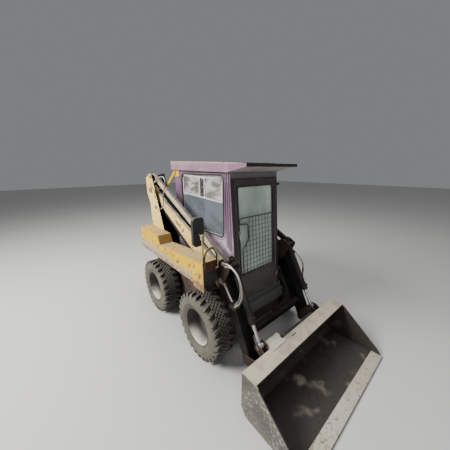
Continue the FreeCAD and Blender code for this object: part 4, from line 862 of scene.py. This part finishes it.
def port(across, radius, along):
    """A welded boss on a barrel with the nut of its elbow."""
    foot = Vector((across, *TILT_START)) + TILT_WAY * along
    boss = bar("boss", foot + PORT_WAY * radius * 0.8, foot + PORT_WAY * (radius + 0.010), 0.013, 12)
    nut = bar("nut", foot + PORT_WAY * (radius + 0.010), foot + PORT_WAY * (radius + 0.020), 0.011, 6)
    return join([boss, nut], "port")


for side, name in SIDES:
    fittings = [gland(side * TILT_X, 0.0385, GLAND_AT, 0.024)]
    fittings += [port(side * TILT_X, 0.037, along) for along in PORTS_AT]
    settle(join(fittings, "tilt_ports_" + name), barrel_paint, "tilt_barrels")

# Bucket
# A wide welded bucket, worn to bare steel and beige with dried dust along the top
# plate, with painted shade inside.
SHELL_DARK = (0.040, 0.034, 0.029, 1)
SHELL_WORN = (0.115, 0.100, 0.080, 1)
SCOURED_STEEL = (0.36, 0.33, 0.29, 1)
PALE_SOIL = (0.47, 0.41, 0.31, 1)
EDGE_STEEL = (0.55, 0.52, 0.46, 1)
SHADED_HOLLOW_Z = (0.425, 0.415)
SHADED_HOLLOW_X = (0.7995, 0.798)
bucket_steel = worn_paint("bucket_steel", SHELL_DARK, SHELL_WORN, SCOURED_STEEL, PALE_SOIL, dusty=1.1,
                          walls=0.18, chips=0.4, grain=34, edges=1.2, stains=0.3, stain=RUST, rough=0.5,
                          metal=0.6)
# Painted shade: the bucket's hollow below the top plate is coloured dark, without dust
layer(bucket_steel, SHELL_DARK, lies("Z", *SHADED_HOLLOW_Z), lies("|X|", *SHADED_HOLLOW_X), blotches=(5, 0.15, 0.45))
dress(bucket_steel, "bucket")

# Torn and folded flap at the back of the top plate
TOP_PLATE_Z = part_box("bucket")[1][2]
FLAP_MIDDLE = (-0.330, -0.925)
FLAP_WIDTH = 0.200
FLAP_DEPTH = 0.115
flap = add("grid", "flap", x_subdivisions=7, y_subdivisions=5, size=1)
flap.data.transform(Matrix.Translation((*FLAP_MIDDLE, TOP_PLATE_Z + 0.006))
                    @ Matrix.Diagonal((FLAP_WIDTH, FLAP_DEPTH, 1, 1)))
for corner in flap.data.vertices:
    away = max(0.0, (corner.co.y - FLAP_MIDDLE[1]) / FLAP_DEPTH * 2)
    corner.co.z += 0.010 * away ** 2 + 0.004 * math.sin(corner.co.x * 61) * math.cos(corner.co.y * 47)
    corner.co.x += 0.012 * math.sin(corner.co.y * 90)
whole_mesh("extrude_region_move", TRANSFORM_OT_translate={"value": (0, 0, -0.005)})
pale_steel = worn_paint("pale_steel", EDGE_STEEL, PALE_SOIL, SHELL_WORN, PALE_SOIL, walls=0.1, chips=0.35,
                        grain=40, stains=0.2, rough=0.5, metal=0.3)
settle(flap, pale_steel, "bucket")

# Plastic, white paint, hose rubber and lamp covers
# The finishes of the small parts: moulded plastic, white sliding frames, hydraulic hose
# gone grey with dust, and red lamp covers.
RUBBER_BLACK = (0.012, 0.012, 0.012, 1)
PLASTIC_GREY = (0.03, 0.03, 0.03, 1)
PLASTIC_RUBBED = (0.05, 0.05, 0.05, 1)
STEM_CREAM = (0.33, 0.26, 0.13, 1)
FRAME_WHITE = (0.62, 0.61, 0.57, 1)
FRAME_CHALK = (0.5, 0.48, 0.44, 1)
HOSE_BLACK = (0.06, 0.056, 0.052, 1)
HOSE_GREY = (0.16, 0.15, 0.135, 1)
HOSE_DUST = (0.62, 0.59, 0.54, 1)
HOSE_BANDS = ((0.779, 0.8225), (0.638, 0.6735))    # heights with a bare black stretch
STEM_Y = (-0.345, -0.348)
STEM_X = (-0.60, -0.61)
LAMP_RED = (0.30, 0.015, 0.010, 1)
LAMP_RED_FADED = (0.24, 0.02, 0.015, 1)
LAMP_RED_CHIP = (0.3, 0.05, 0.04, 1)


def lens(name, colour, faded, chipped):
    """Moulded lamp plastic under thin dust."""
    return worn_paint(name, colour, faded, chipped, GREY_DUST, dusty=0.4, chips=0, edges=0, stains=0.1,
                      rough=0.2)


black_plastic = worn_paint("black_plastic", RUBBER_BLACK, PLASTIC_GREY, PLASTIC_RUBBED, GREY_DUST, dusty=0.4,
                           walls=0.02, chips=0, edges=0.4, stains=0, rough=0.35, shine=0.3)
layer(black_plastic, STEM_CREAM, lies("Y", *STEM_Y), lies("X", *STEM_X))
white_paint = worn_paint("white_paint", FRAME_WHITE, FRAME_CHALK, RUST, GREY_DUST, dusty=0.5, walls=0.12,
                         chips=0.1, edges=0.5)
hose_skin = worn_paint("hose_skin", HOSE_BLACK, HOSE_GREY, LEG_AND_SHADE_BLACK, HOSE_DUST, dusty=1.2, walls=0.25,
                       chips=0.1, edges=0.1, rough=0.4)
for low, high in HOSE_BANDS:
    layer(hose_skin, LEG_AND_SHADE_BLACK, lies("Z", low, low + 0.001), lies("Z", high + 0.001, high))
lamp_red = lens("lamp_red", LAMP_RED, LAMP_RED_FADED, LAMP_RED_CHIP)
dress(black_plastic, "mirror", "control_levers", "seat_base", "seat_cushion", "seat_back")
dress(white_paint, "window_frames")
dress(hose_skin, "leg_hoses_left", "leg_hoses_right", "tower_hoses")
dress(lamp_red, "tail_lamps")

# Cab
# A boxy sheet-metal cab, brushed over in mauve that has faded and gone patchy, with
# dust on every ledge.
CAB_MAUVE = (0.130, 0.045, 0.125, 1)
CAB_FADED = (0.205, 0.100, 0.190, 1)
CAB_SCRATCH = (0.33, 0.27, 0.29, 1)
CAB_PALE = (0.60, 0.47, 0.54, 1)
ROOF_MAUVE = (0.240, 0.120, 0.185, 1)
ROOF_PINK = (0.285, 0.160, 0.212, 1)
ROOF_DUST = (0.58, 0.53, 0.48, 1)
FLOOR_DUST = (0.16, 0.14, 0.115, 1)
PANEL_TAN = (0.22, 0.18, 0.14, 1)
FRAME_AND_SHADE_BLACK = (0.017, 0.012, 0.016, 1)
FRAME_WORN_AND_SHADE = (0.040, 0.031, 0.034, 1)
HEADER_GREY = (0.150, 0.142, 0.152, 1)
PALE_FOOT_Z = (1.50, 1.22)
HEADER_Z = (1.96, 1.99)
FASCIA_Z = (2.09, 2.15)
cab_paint = worn_paint("cab_paint", CAB_MAUVE, CAB_FADED, CAB_SCRATCH, FLOOR_DUST, dusty=0.7, walls=0.16,
                       chips=0.16, grain=30, edges=0.8, stains=0.3, rough=0.42, patches=3.2)
layer(cab_paint, CAB_PALE, lies("Z", *PALE_FOOT_Z), blotches=(7, 0.2, 0.62))
# The cab's forward faces are coloured near-black: the frame's dark paint, with painted shade
layer(cab_paint, FRAME_WORN_AND_SHADE, looks("Y", -0.6, -0.9))
layer(cab_paint, HEADER_GREY, looks("Y", -0.6, -0.9), lies("Z", *HEADER_Z))
roof_paint = worn_paint("roof_paint", ROOF_MAUVE, ROOF_PINK, CAB_SCRATCH, ROOF_DUST, dusty=1.1, walls=0.12,
                        chips=0.2, edges=1.0, stains=0.35, stain=CAB_MAUVE, rough=0.5, patches=3, shine=0.25)
layer(roof_paint, BAR_BEIGE, lies("Z", *FASCIA_Z), blotches=(5, 0.1, 0.6), amount=0.32)
# Painted shade: the roof's downward faces are coloured dark
layer(roof_paint, FRAME_WORN_AND_SHADE, looks("Z", -0.1, -0.5))
dress(cab_paint, "cab_side_left", "cab_side_right", "cab_rear", "cab_front")
dress(roof_paint, "cab_roof")

# Window gaskets with a pressed line round them, the upright ribs at the cab's front
# corners with thin black bars beside them as painted shadow of their grooves, and a black
# filler with bolts between the two sliding panes
CAB_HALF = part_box("cab_side_left")[1][0]
PANE_LOW = (-0.215, 1.330)
PANE_HIGH = (0.640, 2.005)
PANE_CORNER = 0.060
RIB_LINES = (((-0.254, 2.040), (-0.286, 1.240)), ((-0.277, 2.040), (-0.324, 1.215)))
GROOVE_SHADOW_LINES = (((-0.243, 2.038), (-0.268, 1.240)), ((-0.2655, 2.038), (-0.305, 1.230)),
                ((-0.292, 2.038), (-0.346, 1.205)))
SLIDER_X = 0.366
GAP_LOW = (0.147, 1.735)
GAP_HIGH = (0.226, 1.975)
GAP_BOLTS = (1.775, 1.855, 1.935)
GAP_MIDDLE = 0.187


def loop(name, low, high, corner, thick, across, axis="X", inset=0.0):
    """A round-cornered ring of round section in a plane across an axis."""
    low = [value + inset for value in low]
    high = [value - inset for value in high]
    first, second = middle_of(low, high)
    ring = add("plane", name, size=1)
    ring.data.transform(Matrix.Diagonal((high[0] - low[0], high[1] - low[1], 1, 1)))
    whole_mesh("bevel", offset=corner, segments=7, affect="VERTICES")
    whole_mesh("delete", type="ONLY_FACE")
    bpy.ops.object.convert(target="CURVE")
    ring.data.bevel_depth = thick
    ring.data.bevel_resolution = 2
    bpy.ops.object.convert(target="MESH")
    rows = {"X": ((0, 0, 1, across), (1, 0, 0, first), (0, 1, 0, second)),
            "Y": ((1, 0, 0, first), (0, 0, -1, across), (0, 1, 0, second)),
            "Z": ((1, 0, 0, first), (0, 1, 0, second), (0, 0, 1, across))}[axis]
    ring.data.transform(Matrix((*rows, (0, 0, 0, 1))))
    return ring


gasket_rubber = worn_paint("gasket_rubber", RUBBER_BLACK, FRAME_WORN_AND_SHADE, RUBBER_BLACK, FLOOR_DUST, dusty=0.5,
                           walls=0.08, chips=0, edges=0.1, stains=0, rough=0.7)
rib_paint = worn_paint("rib_paint", CAB_FADED, ROOF_MAUVE, CAB_SCRATCH, ROOF_DUST, dusty=0.5, walls=0.10,
                       rough=0.45)
# The thin black bars beside the ribs are painted shadow for the pressed grooves
UPRIGHTS = (("rib", RIB_LINES, 0.0065, 12, rib_paint), ("groove_shadow", GROOVE_SHADOW_LINES, 0.0032, 8, gasket_rubber))
for side, name in SIDES:
    bead = loop("pane_bead", PANE_LOW, PANE_HIGH, PANE_CORNER - 0.010, 0.003, side * (SLIDER_X - 0.002), "X",
                0.012)
    settle(bead, white_paint, "root")
    inner = loop("gasket", PANE_LOW, PANE_HIGH, PANE_CORNER, 0.008, side * CAB_HALF)
    outer = loop("press_line", [v - 0.027 for v in PANE_LOW], [v + 0.020 for v in PANE_HIGH],
                 PANE_CORNER + 0.02, 0.0025, side * (CAB_HALF + 0.0005))
    settle(join([inner, outer], "window_gasket_" + name), gasket_rubber, "root")
    for kind, lines, radius, sections, paint in UPRIGHTS:
        bars = [bar(kind, (side * CAB_HALF, *top), (side * CAB_HALF, *foot), radius, sections)
                for top, foot in lines]
        settle(join(bars, "corner_%ss_%s" % (kind, name)), paint, "root")
    filler = block("filler", (side * SLIDER_X - 0.003, *GAP_LOW), (side * SLIDER_X + 0.003, *GAP_HIGH))
    heads = [bolt((side * (SLIDER_X + 0.003), GAP_MIDDLE, z), (side, 0, 0), 0.009) for z in GAP_BOLTS]
    settle(filler, gasket_rubber, "root")
    settle(join(heads, "slider_bolts_" + name), steel_bare, "root")

# Visor
# A dark lid of sheet metal hung from the roof's front, with a rippled front edge on its
# right half. Its cheeks are mauve like the roof.
VISOR_DARK = (0.34, 0.320, 0.280, 1)
VISOR_WORN = (0.50, 0.475, 0.420, 1)
VISOR_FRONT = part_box("cab_visor")[0][1]
VISOR_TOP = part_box("cab_visor")[1][2]
RIPPLE_START = -0.385
RIPPLE_STEP = 0.031
RIPPLE_COUNT = 13
visor_paint = worn_paint("visor_paint", VISOR_DARK, VISOR_WORN, CAB_SCRATCH, PANEL_TAN, dusty=0.55,
                         walls=0.25, edges=1.0, rough=0.5)
# Painted shade: the visor's downward faces are coloured black
layer(visor_paint, FRAME_AND_SHADE_BLACK, looks("Z", -0.7, -0.3))
layer(visor_paint, ROOF_MAUVE, looks("|X|", 0.6, 0.9), blotches=(6, 0.0, 0.3))
dress(visor_paint, "cab_visor")
ripples = []
for index in range(RIPPLE_COUNT):
    x = RIPPLE_START + RIPPLE_STEP * index
    front = (x, VISOR_FRONT + 0.001, VISOR_TOP - 0.004)
    ripples.append(bar("ripple", front, (x, VISOR_FRONT + 0.070, VISOR_TOP - 0.002), 0.0085, 8))
settle(join(ripples, "visor_ripples"), gasket_rubber, "root")

# Front frame, door and guard
# The front of the cab and its door are a darker brown-black, scratched and grey with
# dust low down, and the guard is bare dark wire.
PANEL_GREY = (0.060, 0.056, 0.046, 1)
PANEL_DUST = (0.100, 0.094, 0.076, 1)
GUARD_BLACK = (0.020, 0.018, 0.017, 1)
PANEL_Z = (0.93, 0.90)
door_paint = worn_paint("door_paint", FRAME_AND_SHADE_BLACK, FRAME_WORN_AND_SHADE, CAB_SCRATCH, PANEL_DUST, dusty=0.8, walls=0.08,
                        chips=0.15, grain=40, stains=0.2, rough=0.45)
layer(door_paint, patchy(door_paint, PANEL_GREY, PANEL_DUST, 5), lies("Z", *PANEL_Z), amount=0.75)
guard_paint = worn_paint("guard_paint", GUARD_BLACK, FRAME_WORN_AND_SHADE, RUST, GREY_DUST, dusty=0.5, walls=0.1,
                         chips=0.2)
dress(door_paint, "cab_door")
dress(guard_paint, "door_guard")

# The door's rubber seal with its bright bead, a lock with a lever handle, a sill rib on
# the lower panel, and the bent conduit that comes down inside the glass
DOOR_FOOT = (0, -0.380, 1.200)
DOOR_RAKE = math.radians(4.93)
GLASS_LOW = (-0.284, -0.285)
GLASS_HIGH = (0.284, 0.690)
LOCK_X = -0.304
LOCK_Z = 0.213
CONDUIT = (
    (-0.215, -0.270, 1.935), (-0.172, -0.275, 1.885), (-0.085, -0.290, 1.800), (-0.068, -0.295, 1.700),
    (-0.075, -0.300, 1.600), (-0.150, -0.305, 1.525), (-0.280, -0.310, 1.480), (-0.345, -0.315, 1.450),
)


def on_door(piece):
    """Stand a piece made in the door's own plane on the leaning door."""
    piece.data.transform(Matrix.Translation(DOOR_FOOT) @ Matrix.Rotation(-DOOR_RAKE, 4, "X"))
    return piece


seal = loop("door_seal", GLASS_LOW, GLASS_HIGH, 0.035, 0.009, 0.001, "Y")
settle(on_door(seal), gasket_rubber, "cab_door")
bead = loop("door_bead", GLASS_LOW, GLASS_HIGH, 0.030, 0.0025, 0.010, "Y", 0.014)
settle(on_door(bead), white_paint, "cab_door")
lock = bar("lock", (LOCK_X, 0.002, LOCK_Z), (LOCK_X, -0.016, LOCK_Z), 0.013, 20)
neck = bar("neck", (LOCK_X, -0.014, LOCK_Z), (LOCK_X, -0.030, LOCK_Z), 0.006, 12)
grip = block("grip", (LOCK_X - 0.008, -0.036, LOCK_Z - 0.071), (LOCK_X + 0.008, -0.029, LOCK_Z + 0.009),
             0.003)
settle(on_door(join([lock, neck, grip], "door_lock")), chrome, "cab_door")
sill = block("sill_rib", (-0.300, -0.006, -0.540), (0.300, 0.002, -0.526), 0.002)
settle(on_door(sill), door_paint, "cab_door")
settle(tube("inner_conduit", CONDUIT, 0.007), white_paint, "root")

# Glass
# Plain sheet glass under streaked veils of dried splashes and dust, with painted light
# on the front glass and painted reflections high on the side and rear panes.
GLASS_TINT = (0.78, 0.86, 0.82, 1)
BLUE_VEIL = (0.165, 0.190, 0.220, 1)
GREEN_VEIL_PAINTED_LIGHT = (0.80, 0.98, 0.86, 1)
PALE_REFLECTION = (0.66, 0.67, 0.65, 1)
BROWN_REFLECTION = (0.25, 0.225, 0.190, 1)
SLIDER_Z = 1.735


def dusty_glass(name, veil, dust, above=None):
    """Clear glass under an uneven veil of the given colour, with painted reflections above a height if one is
    given.
    """
    material, tree, glass = new_material(name)
    glass.inputs["Base Color"].default_value = GLASS_TINT
    glass.inputs["Roughness"].default_value = 0.03
    glass.inputs["IOR"].default_value = 1.45
    glass.inputs["Transmission Weight"].default_value = 1.0
    film = put(tree, "BsdfPrincipled", Roughness=0.25)
    colour = dust
    if above:
        # Painted reflection: pale and brown patches above the given height
        patches = between(tree, noise(tree, 9, 6, (1, 0.6, 1.6), 8.1), 0.40, 0.60)
        bright = tint(tree, patches, PALE_REFLECTION, BROWN_REFLECTION)
        colour = tint(tree, lies("Z", above - 0.002, above + 0.002)(tree), dust, bright)
    streak = between(tree, noise(tree, 4, 6, (1, 1, 0.4), 1.7), 0.25, 0.75)
    speck = between(tree, noise(tree, 70, 2), 0.5, 0.8)
    colour = tint(tree, times(tree, speck, 0.35), colour, GREY_DUST)
    tree.links.new(colour, film.inputs["Base Color"])
    amount = maths(tree, "MULTIPLY_ADD", streak, 0.35, veil)
    blend = tree.nodes.new("ShaderNodeMixShader")
    tree.links.new(amount, blend.inputs[0])
    tree.links.new(glass.outputs[0], blend.inputs[1])
    tree.links.new(film.outputs[0], blend.inputs[2])
    tree.links.new(blend.outputs[0], tree.nodes["Material Output"].inputs["Surface"])
    return material


side_glass = dusty_glass("side_glass", 0.45, BLUE_VEIL, SLIDER_Z)
# Painted light: the front glass gets a pale, bright green veil that stands for the light seen through it
front_glass = dusty_glass("front_glass", 0.40, GREEN_VEIL_PAINTED_LIGHT)
dress(side_glass, "side_windows", "rear_window")
dress(front_glass, "door_glass")

# Engine cover, bay and rear door
# Yellow sheet over the engine, as worn as the fenders: a rear door with pressed louvres
# and a lever handle, and a cover with two ribs and a latch.
DOOR_BACK = 1.510
SLAT_COUNT = 9
SLAT_PITCH = 0.052
LOUVRE_FOOT = 0.640
LOUVRE_HALF = 0.290
HANDLE_X = -0.365
HANDLE_Z = 0.860
COVER_TOP = 1.262
cover_paint = worn_paint("cover_paint", FENDER_YELLOW, FENDER_PALE, PRIMER_PINK, TOP_DUST, dusty=1.0,
                         walls=0.14, chips=0.35, grain=20, edges=0.8, stains=0.45, stain=RUN_BROWN,
                         shine=0.25)
dress(cover_paint, "hood", "rear_door", "bay_sides", "cab_braces")
slats = []
for index in range(SLAT_COUNT):
    z = LOUVRE_FOOT + index * SLAT_PITCH
    slat = block("slat", (-LOUVRE_HALF, DOOR_BACK - 0.001, z),
                 (LOUVRE_HALF, DOOR_BACK + 0.012, z + 0.030), 0.003)
    pick(slat, lambda face: face.normal.z > 0.9)
    bpy.ops.transform.translate(value=(0, -0.009, 0))
    bpy.ops.object.mode_set(mode="OBJECT")
    slats.append(slat)
strips = [block("strip", (x, DOOR_BACK - 0.001, 0.515), (x + 0.018, DOOR_BACK + 0.004, 1.165), 0.002)
          for x in (-0.425, 0.407)]
settle(join(slats + strips, "rear_louvres"), cover_paint, "rear_door")
rose = bar("rose", (HANDLE_X, DOOR_BACK - 0.001, HANDLE_Z), (HANDLE_X, DOOR_BACK + 0.008, HANDLE_Z),
           0.024, 20)
neck = bar("neck", (HANDLE_X, DOOR_BACK, HANDLE_Z), (HANDLE_X, DOOR_BACK + 0.030, HANDLE_Z), 0.008, 12)
lever = block("lever", (HANDLE_X - 0.009, DOOR_BACK + 0.026, HANDLE_Z - 0.100),
              (HANDLE_X + 0.009, DOOR_BACK + 0.036, HANDLE_Z + 0.012), 0.004)
settle(join([rose, neck, lever], "rear_handle"), steel_bare, "rear_door")
ribs = []
for x in (-0.230, 0.230):
    rib = block("rib", (x - 0.035, 0.930, COVER_TOP - 0.001), (x + 0.035, 1.430, COVER_TOP + 0.007))
    pick(rib, lambda face: face.normal.z > 0.9)
    bpy.ops.transform.resize(value=(0.7, 0.96, 1))
    bpy.ops.object.mode_set(mode="OBJECT")
    ribs.append(rib)
latch = block("latch", (-0.030, 1.474, 1.236), (0.030, 1.484, 1.258), 0.003)
settle(join(ribs + [latch], "cover_ribs"), cover_paint, "hood")

# Tail lamps
# Cast plastic lamps on the tub's rear corners, red below and amber above in a black rim.
LAMP_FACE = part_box("tail_lamps")[1][1]
LAMP_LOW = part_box("tail_lamps")[0][2]
LAMP_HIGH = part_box("tail_lamps")[1][2]
LAMP_MIDDLE = (LAMP_LOW + LAMP_HIGH) / 2
LAMP_X = (0.500, 0.570)
LAMP_AMBER = (0.45, 0.16, 0.01, 1)
LAMP_AMBER_FADED = (0.36, 0.14, 0.02, 1)
LAMP_AMBER_CHIP = (0.5, 0.3, 0.1, 1)
amber = lens("amber_lens", LAMP_AMBER, LAMP_AMBER_FADED, LAMP_AMBER_CHIP)
LENSES = (("amber", amber, LAMP_MIDDLE + 0.002, LAMP_HIGH - 0.008),
          ("red", lamp_red, LAMP_LOW + 0.008, LAMP_MIDDLE - 0.002))
for side, _ in SIDES:
    left, right = sorted((side * LAMP_X[0], side * LAMP_X[1]))
    rim = loop("lamp_rim", (left, LAMP_LOW), (right, LAMP_HIGH), 0.010, 0.004, LAMP_FACE, "Y", 0.004)
    settle(rim, black_plastic, "root")
    for name, plastic, low, high in LENSES:
        cover = block(name, (left + 0.008, LAMP_FACE - 0.002, low), (right - 0.008, LAMP_FACE + 0.005, high),
                      0.003)
        settle(cover, plastic, "root")

# Seat
# A low vinyl seat on a steel box: two foam cushions crowned in the middle, with a
# sewn bead round each face and two seams across.
VINYL = (0.020, 0.019, 0.018, 1)
VINYL_WORN = (0.055, 0.050, 0.045, 1)
VINYL_CRACKED = (0.10, 0.085, 0.06, 1)
SEAM_DEPTH = 0.006
SEAT_CROWN = 0.016
vinyl = worn_paint("vinyl", VINYL, VINYL_WORN, VINYL_CRACKED, GREY_DUST, dusty=0.45, walls=0.1, chips=0.12,
                   grain=50, edges=0.4, stains=0.1, rough=0.5)


def cushion(name, low, high, face_axis, crown):
    """A padded block that swells along its face axis, with two seams across."""
    pad = block(name, low, high)
    whole_mesh("subdivide", number_cuts=11)
    middle = middle_of(low, high)
    half = [(q - p) / 2 for p, q in zip(low, high)]
    flat = [axis for axis in range(3) if axis != face_axis]
    for corner in pad.data.vertices:
        part = [(corner.co[axis] - middle[axis]) / half[axis] for axis in range(3)]
        swell = (1 - part[flat[0]] ** 4) * (1 - part[flat[1]] ** 4)
        seam = min(abs(abs(part[flat[0]]) - 0.45) / 0.10, 1)
        rise = half[face_axis] - crown * (1 - swell) - SEAM_DEPTH * (1 - seam)
        corner.co[face_axis] = middle[face_axis] + part[face_axis] * rise
        for axis in flat:
            corner.co[axis] = middle[axis] + part[axis] * half[axis] * (1 - 0.03 * abs(part[face_axis]) ** 3)
    return pad


for name, axis in (("seat_cushion", 2), ("seat_back", 1)):
    low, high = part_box(name)
    pad = cushion(name + "_pad", low, high, axis, SEAT_CROWN)
    settle(pad, vinyl, "root", 50)
    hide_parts(name)
low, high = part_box("seat_cushion")
bead = loop("seat_bead", low[:2], high[:2], 0.030, 0.004, high[2] - 0.015, "Z", 0.012)
settle(bead, vinyl, "root")
low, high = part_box("seat_back")
bead = loop("back_bead", (low[0], low[2]), (high[0], high[2]), 0.030, 0.004, low[1] + 0.015, "Y", 0.012)
settle(bead, vinyl, "root")
runners = [block("runner", (x, 0.230, 0.822), (x + 0.022, 0.600, 0.832), 0.002) for x in (-0.150, 0.128)]
settle(join(runners, "seat_runners"), steel_bare, "root")

# Control levers
# Two sticks beside the knees, each with a pleated rubber boot at the floor.
STICK_X = 0.240
STICK_Y = 0.042
PLEAT_COUNT = 5
PLEAT_RISE = 0.016
FLOOR_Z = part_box("cab_floor")[1][2]
boots = []
for x in (-STICK_X, STICK_X):
    profile = [(0, 0.014), (0, 0.052), (0.006, 0.052)]
    for pleat in range(PLEAT_COUNT):
        rise = 0.008 + pleat * PLEAT_RISE
        wide = 0.048 - pleat * 0.006
        profile += [(rise, wide), (rise + 0.008, wide - 0.009)]
    profile += [(profile[-1][0], 0.014), (0, 0.014)]
    boots.append(turned("boot", profile, (x, STICK_Y, FLOOR_Z), 20, "Z"))
settle(join(boots, "stick_boots"), gasket_rubber, "root", merge=0.0003)

# Mirror glass
# A silvered pane set in the back of the mirror's plastic shell, hazy with dust.
MIRROR_SILVER = (0.85, 0.86, 0.87, 1)
MIRROR_LOW = (-0.795, 1.334)
MIRROR_HIGH = (-0.670, 1.620)
MIRROR_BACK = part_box("mirror")[1][1]
silver, tree, shader = new_material("mirror_silver")
shader.inputs["Metallic"].default_value = 1.0
haze = between(tree, noise(tree, 20, 5), 0.4, 0.8)
tree.links.new(tint(tree, haze, MIRROR_SILVER, GREY_DUST), shader.inputs["Base Color"])
tree.links.new(maths(tree, "MULTIPLY_ADD", haze, 0.5, 0.05), shader.inputs["Roughness"])
glass = block("mirror_glass", (MIRROR_LOW[0] + 0.010, MIRROR_BACK - 0.001, MIRROR_LOW[1] + 0.012),
              (MIRROR_HIGH[0] - 0.010, MIRROR_BACK + 0.002, MIRROR_HIGH[1] - 0.012), 0.001)
settle(glass, silver, "root")

# Hose ends and wrap
# Pressed ferrules and hexagon nuts where the hydraulic hoses end, and a spiral guard
# on the lower run of the left hose.
LEG_ENDS = (  # x, end, toward, as (y, z)
    (-0.590, (-0.455, 1.178), (-0.545, 1.190)), (-0.590, (-0.634, 0.806), (-0.690, 0.890)),
    (-0.613, (-0.520, 1.172), (-0.600, 1.196)), (-0.613, (-0.645, 0.800), (-0.716, 0.870)),
    (-0.582, (-0.465, 0.963), (-0.540, 0.860)), (0.585, (-0.420, 1.085), (-0.500, 1.020)),
    (0.585, (-0.652, 0.660), (-0.650, 0.800)),
)
TOWER_ENDS = (((1.085, 1.880), (0.930, 1.955)), ((0.985, 1.518), (0.905, 1.520)))
TOWER_HOSE_X = 0.572


def hose_end(x, end, toward, stops, nut_radius):
    """A hexagon nut and a pressed ferrule between three stops along a hose from its end."""
    end = Vector((x, *end))
    way = (Vector((x, *toward)) - end).normalized()
    first, second, third = [end + way * stop for stop in stops]
    return [bar("nut", first, second, nut_radius, 6), bar("ferrule", second, third, 0.0105, 14)]


ends = []
for x, end, toward in LEG_ENDS:
    ends += hose_end(x, end, toward, (-0.004, 0.012, 0.045), 0.0125)
settle(join(ends, "hose_ends"), steel_bare, "boom")
ends = []
for side in (-1, 1):
    for end, toward in TOWER_ENDS:
        ends += hose_end(side * TOWER_HOSE_X, end, toward, (0.012, 0.026, 0.058), 0.0135)
settle(join(ends, "tower_hose_ends"), white_paint, "root")
WRAP_TOP = Vector((0.585, -0.648, 0.835))
WRAP_END = Vector((0.585, -0.652, 0.700))
WRAP_RINGS = 12
rings = []
for index in range(WRAP_RINGS):
    at = WRAP_TOP.lerp(WRAP_END, index / (WRAP_RINGS - 1))
    rings.append(bar("ring", at, at + Vector((0, 0.0015, -0.0065)), 0.0105, 12))
settle(join(rings, "hose_wrap"), hose_skin, "boom")

# Cutting edge and slit of the bucket
# A bolted strip of hard steel along the lip, and a slit torn in the top plate.
LIP_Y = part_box("bucket")[0][1]
EDGE_HALF = 0.795
EDGE_TOP = 0.022
EDGE_BOLTS = (-0.72, -0.48, -0.24, 0, 0.24, 0.48, 0.72)
strip = block("cutting_edge", (-EDGE_HALF, LIP_Y + 0.001, 0.010), (EDGE_HALF, LIP_Y + 0.110, EDGE_TOP), 0.002)
heads = [bolt((x, LIP_Y + 0.070, EDGE_TOP), (0, 0, 1), 0.012) for x in EDGE_BOLTS]
settle(join([strip] + heads, "cutting_edge"), pale_steel, "bucket")
slit = block("slit", (-0.135, -0.990, TOP_PLATE_Z - 0.002), (-0.060, -0.978, TOP_PLATE_Z + 0.0008))
settle(slit, gasket_rubber, "bucket")

# Plates and bolts of the tub
# Round covers over the chain cases, bolts along the cross beam and the casting's bolts.
CASE_X = 0.460
COVER_PROFILE = ((0, 0.075), (0.006, 0.075), (0.010, 0.070), (0.0101, 0.004))
COVER_BOLTS = 0.062
BEAM_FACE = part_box("chassis")[0][1]
WEIGHT_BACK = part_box("counterweight")[1][1]
WEIGHT_BOLT_Z = 0.388
details = []
for side in (-1, 1):
    for y in (0.180, 0.560):
        cover = turned("cover", COVER_PROFILE, (0, y, AXLE_Z), 28)
        details.append(to_side(cover, side, CASE_X))
        details += [bolt((side * (CASE_X + 0.006), y + COVER_BOLTS * math.cos(turn),
                          AXLE_Z + COVER_BOLTS * math.sin(turn)), (side, 0, 0), 0.006)
                    for turn in (0.5, 1.8, 3.1, 4.3, 5.6)]
details += [bolt((x, BEAM_FACE, z), (0, -1, 0), 0.010)
            for x in (-0.40, -0.14, 0.14, 0.40) for z in (0.41, 0.49)]
settle(join(details, "tub_details"), chassis_paint, "root")
weight_bolts = [bolt((x, WEIGHT_BACK, WEIGHT_BOLT_Z), (0, 1, 0), 0.013) for x in (-0.42, -0.14, 0.14, 0.42)]
settle(join(weight_bolts, "weight_bolts"), weight_paint, "root")

# Roof
# Rows of cap screws along the roof's edges, and a rubber stub left on its left side.
screws = [bolt((x, y, top_of("cab_roof", x, y)), (0, 0, 1), 0.007)
          for x in (-0.36, 0.36) for y in (-0.20, 0.10, 0.40, 0.70)]
settle(join(screws, "roof_screws"), roof_paint, "root")
stub = block("side_stub", (CAB_HALF - 0.004, -0.335, 1.872), (CAB_HALF + 0.038, -0.297, 1.898), 0.004)
settle(stub, gasket_rubber, "root")
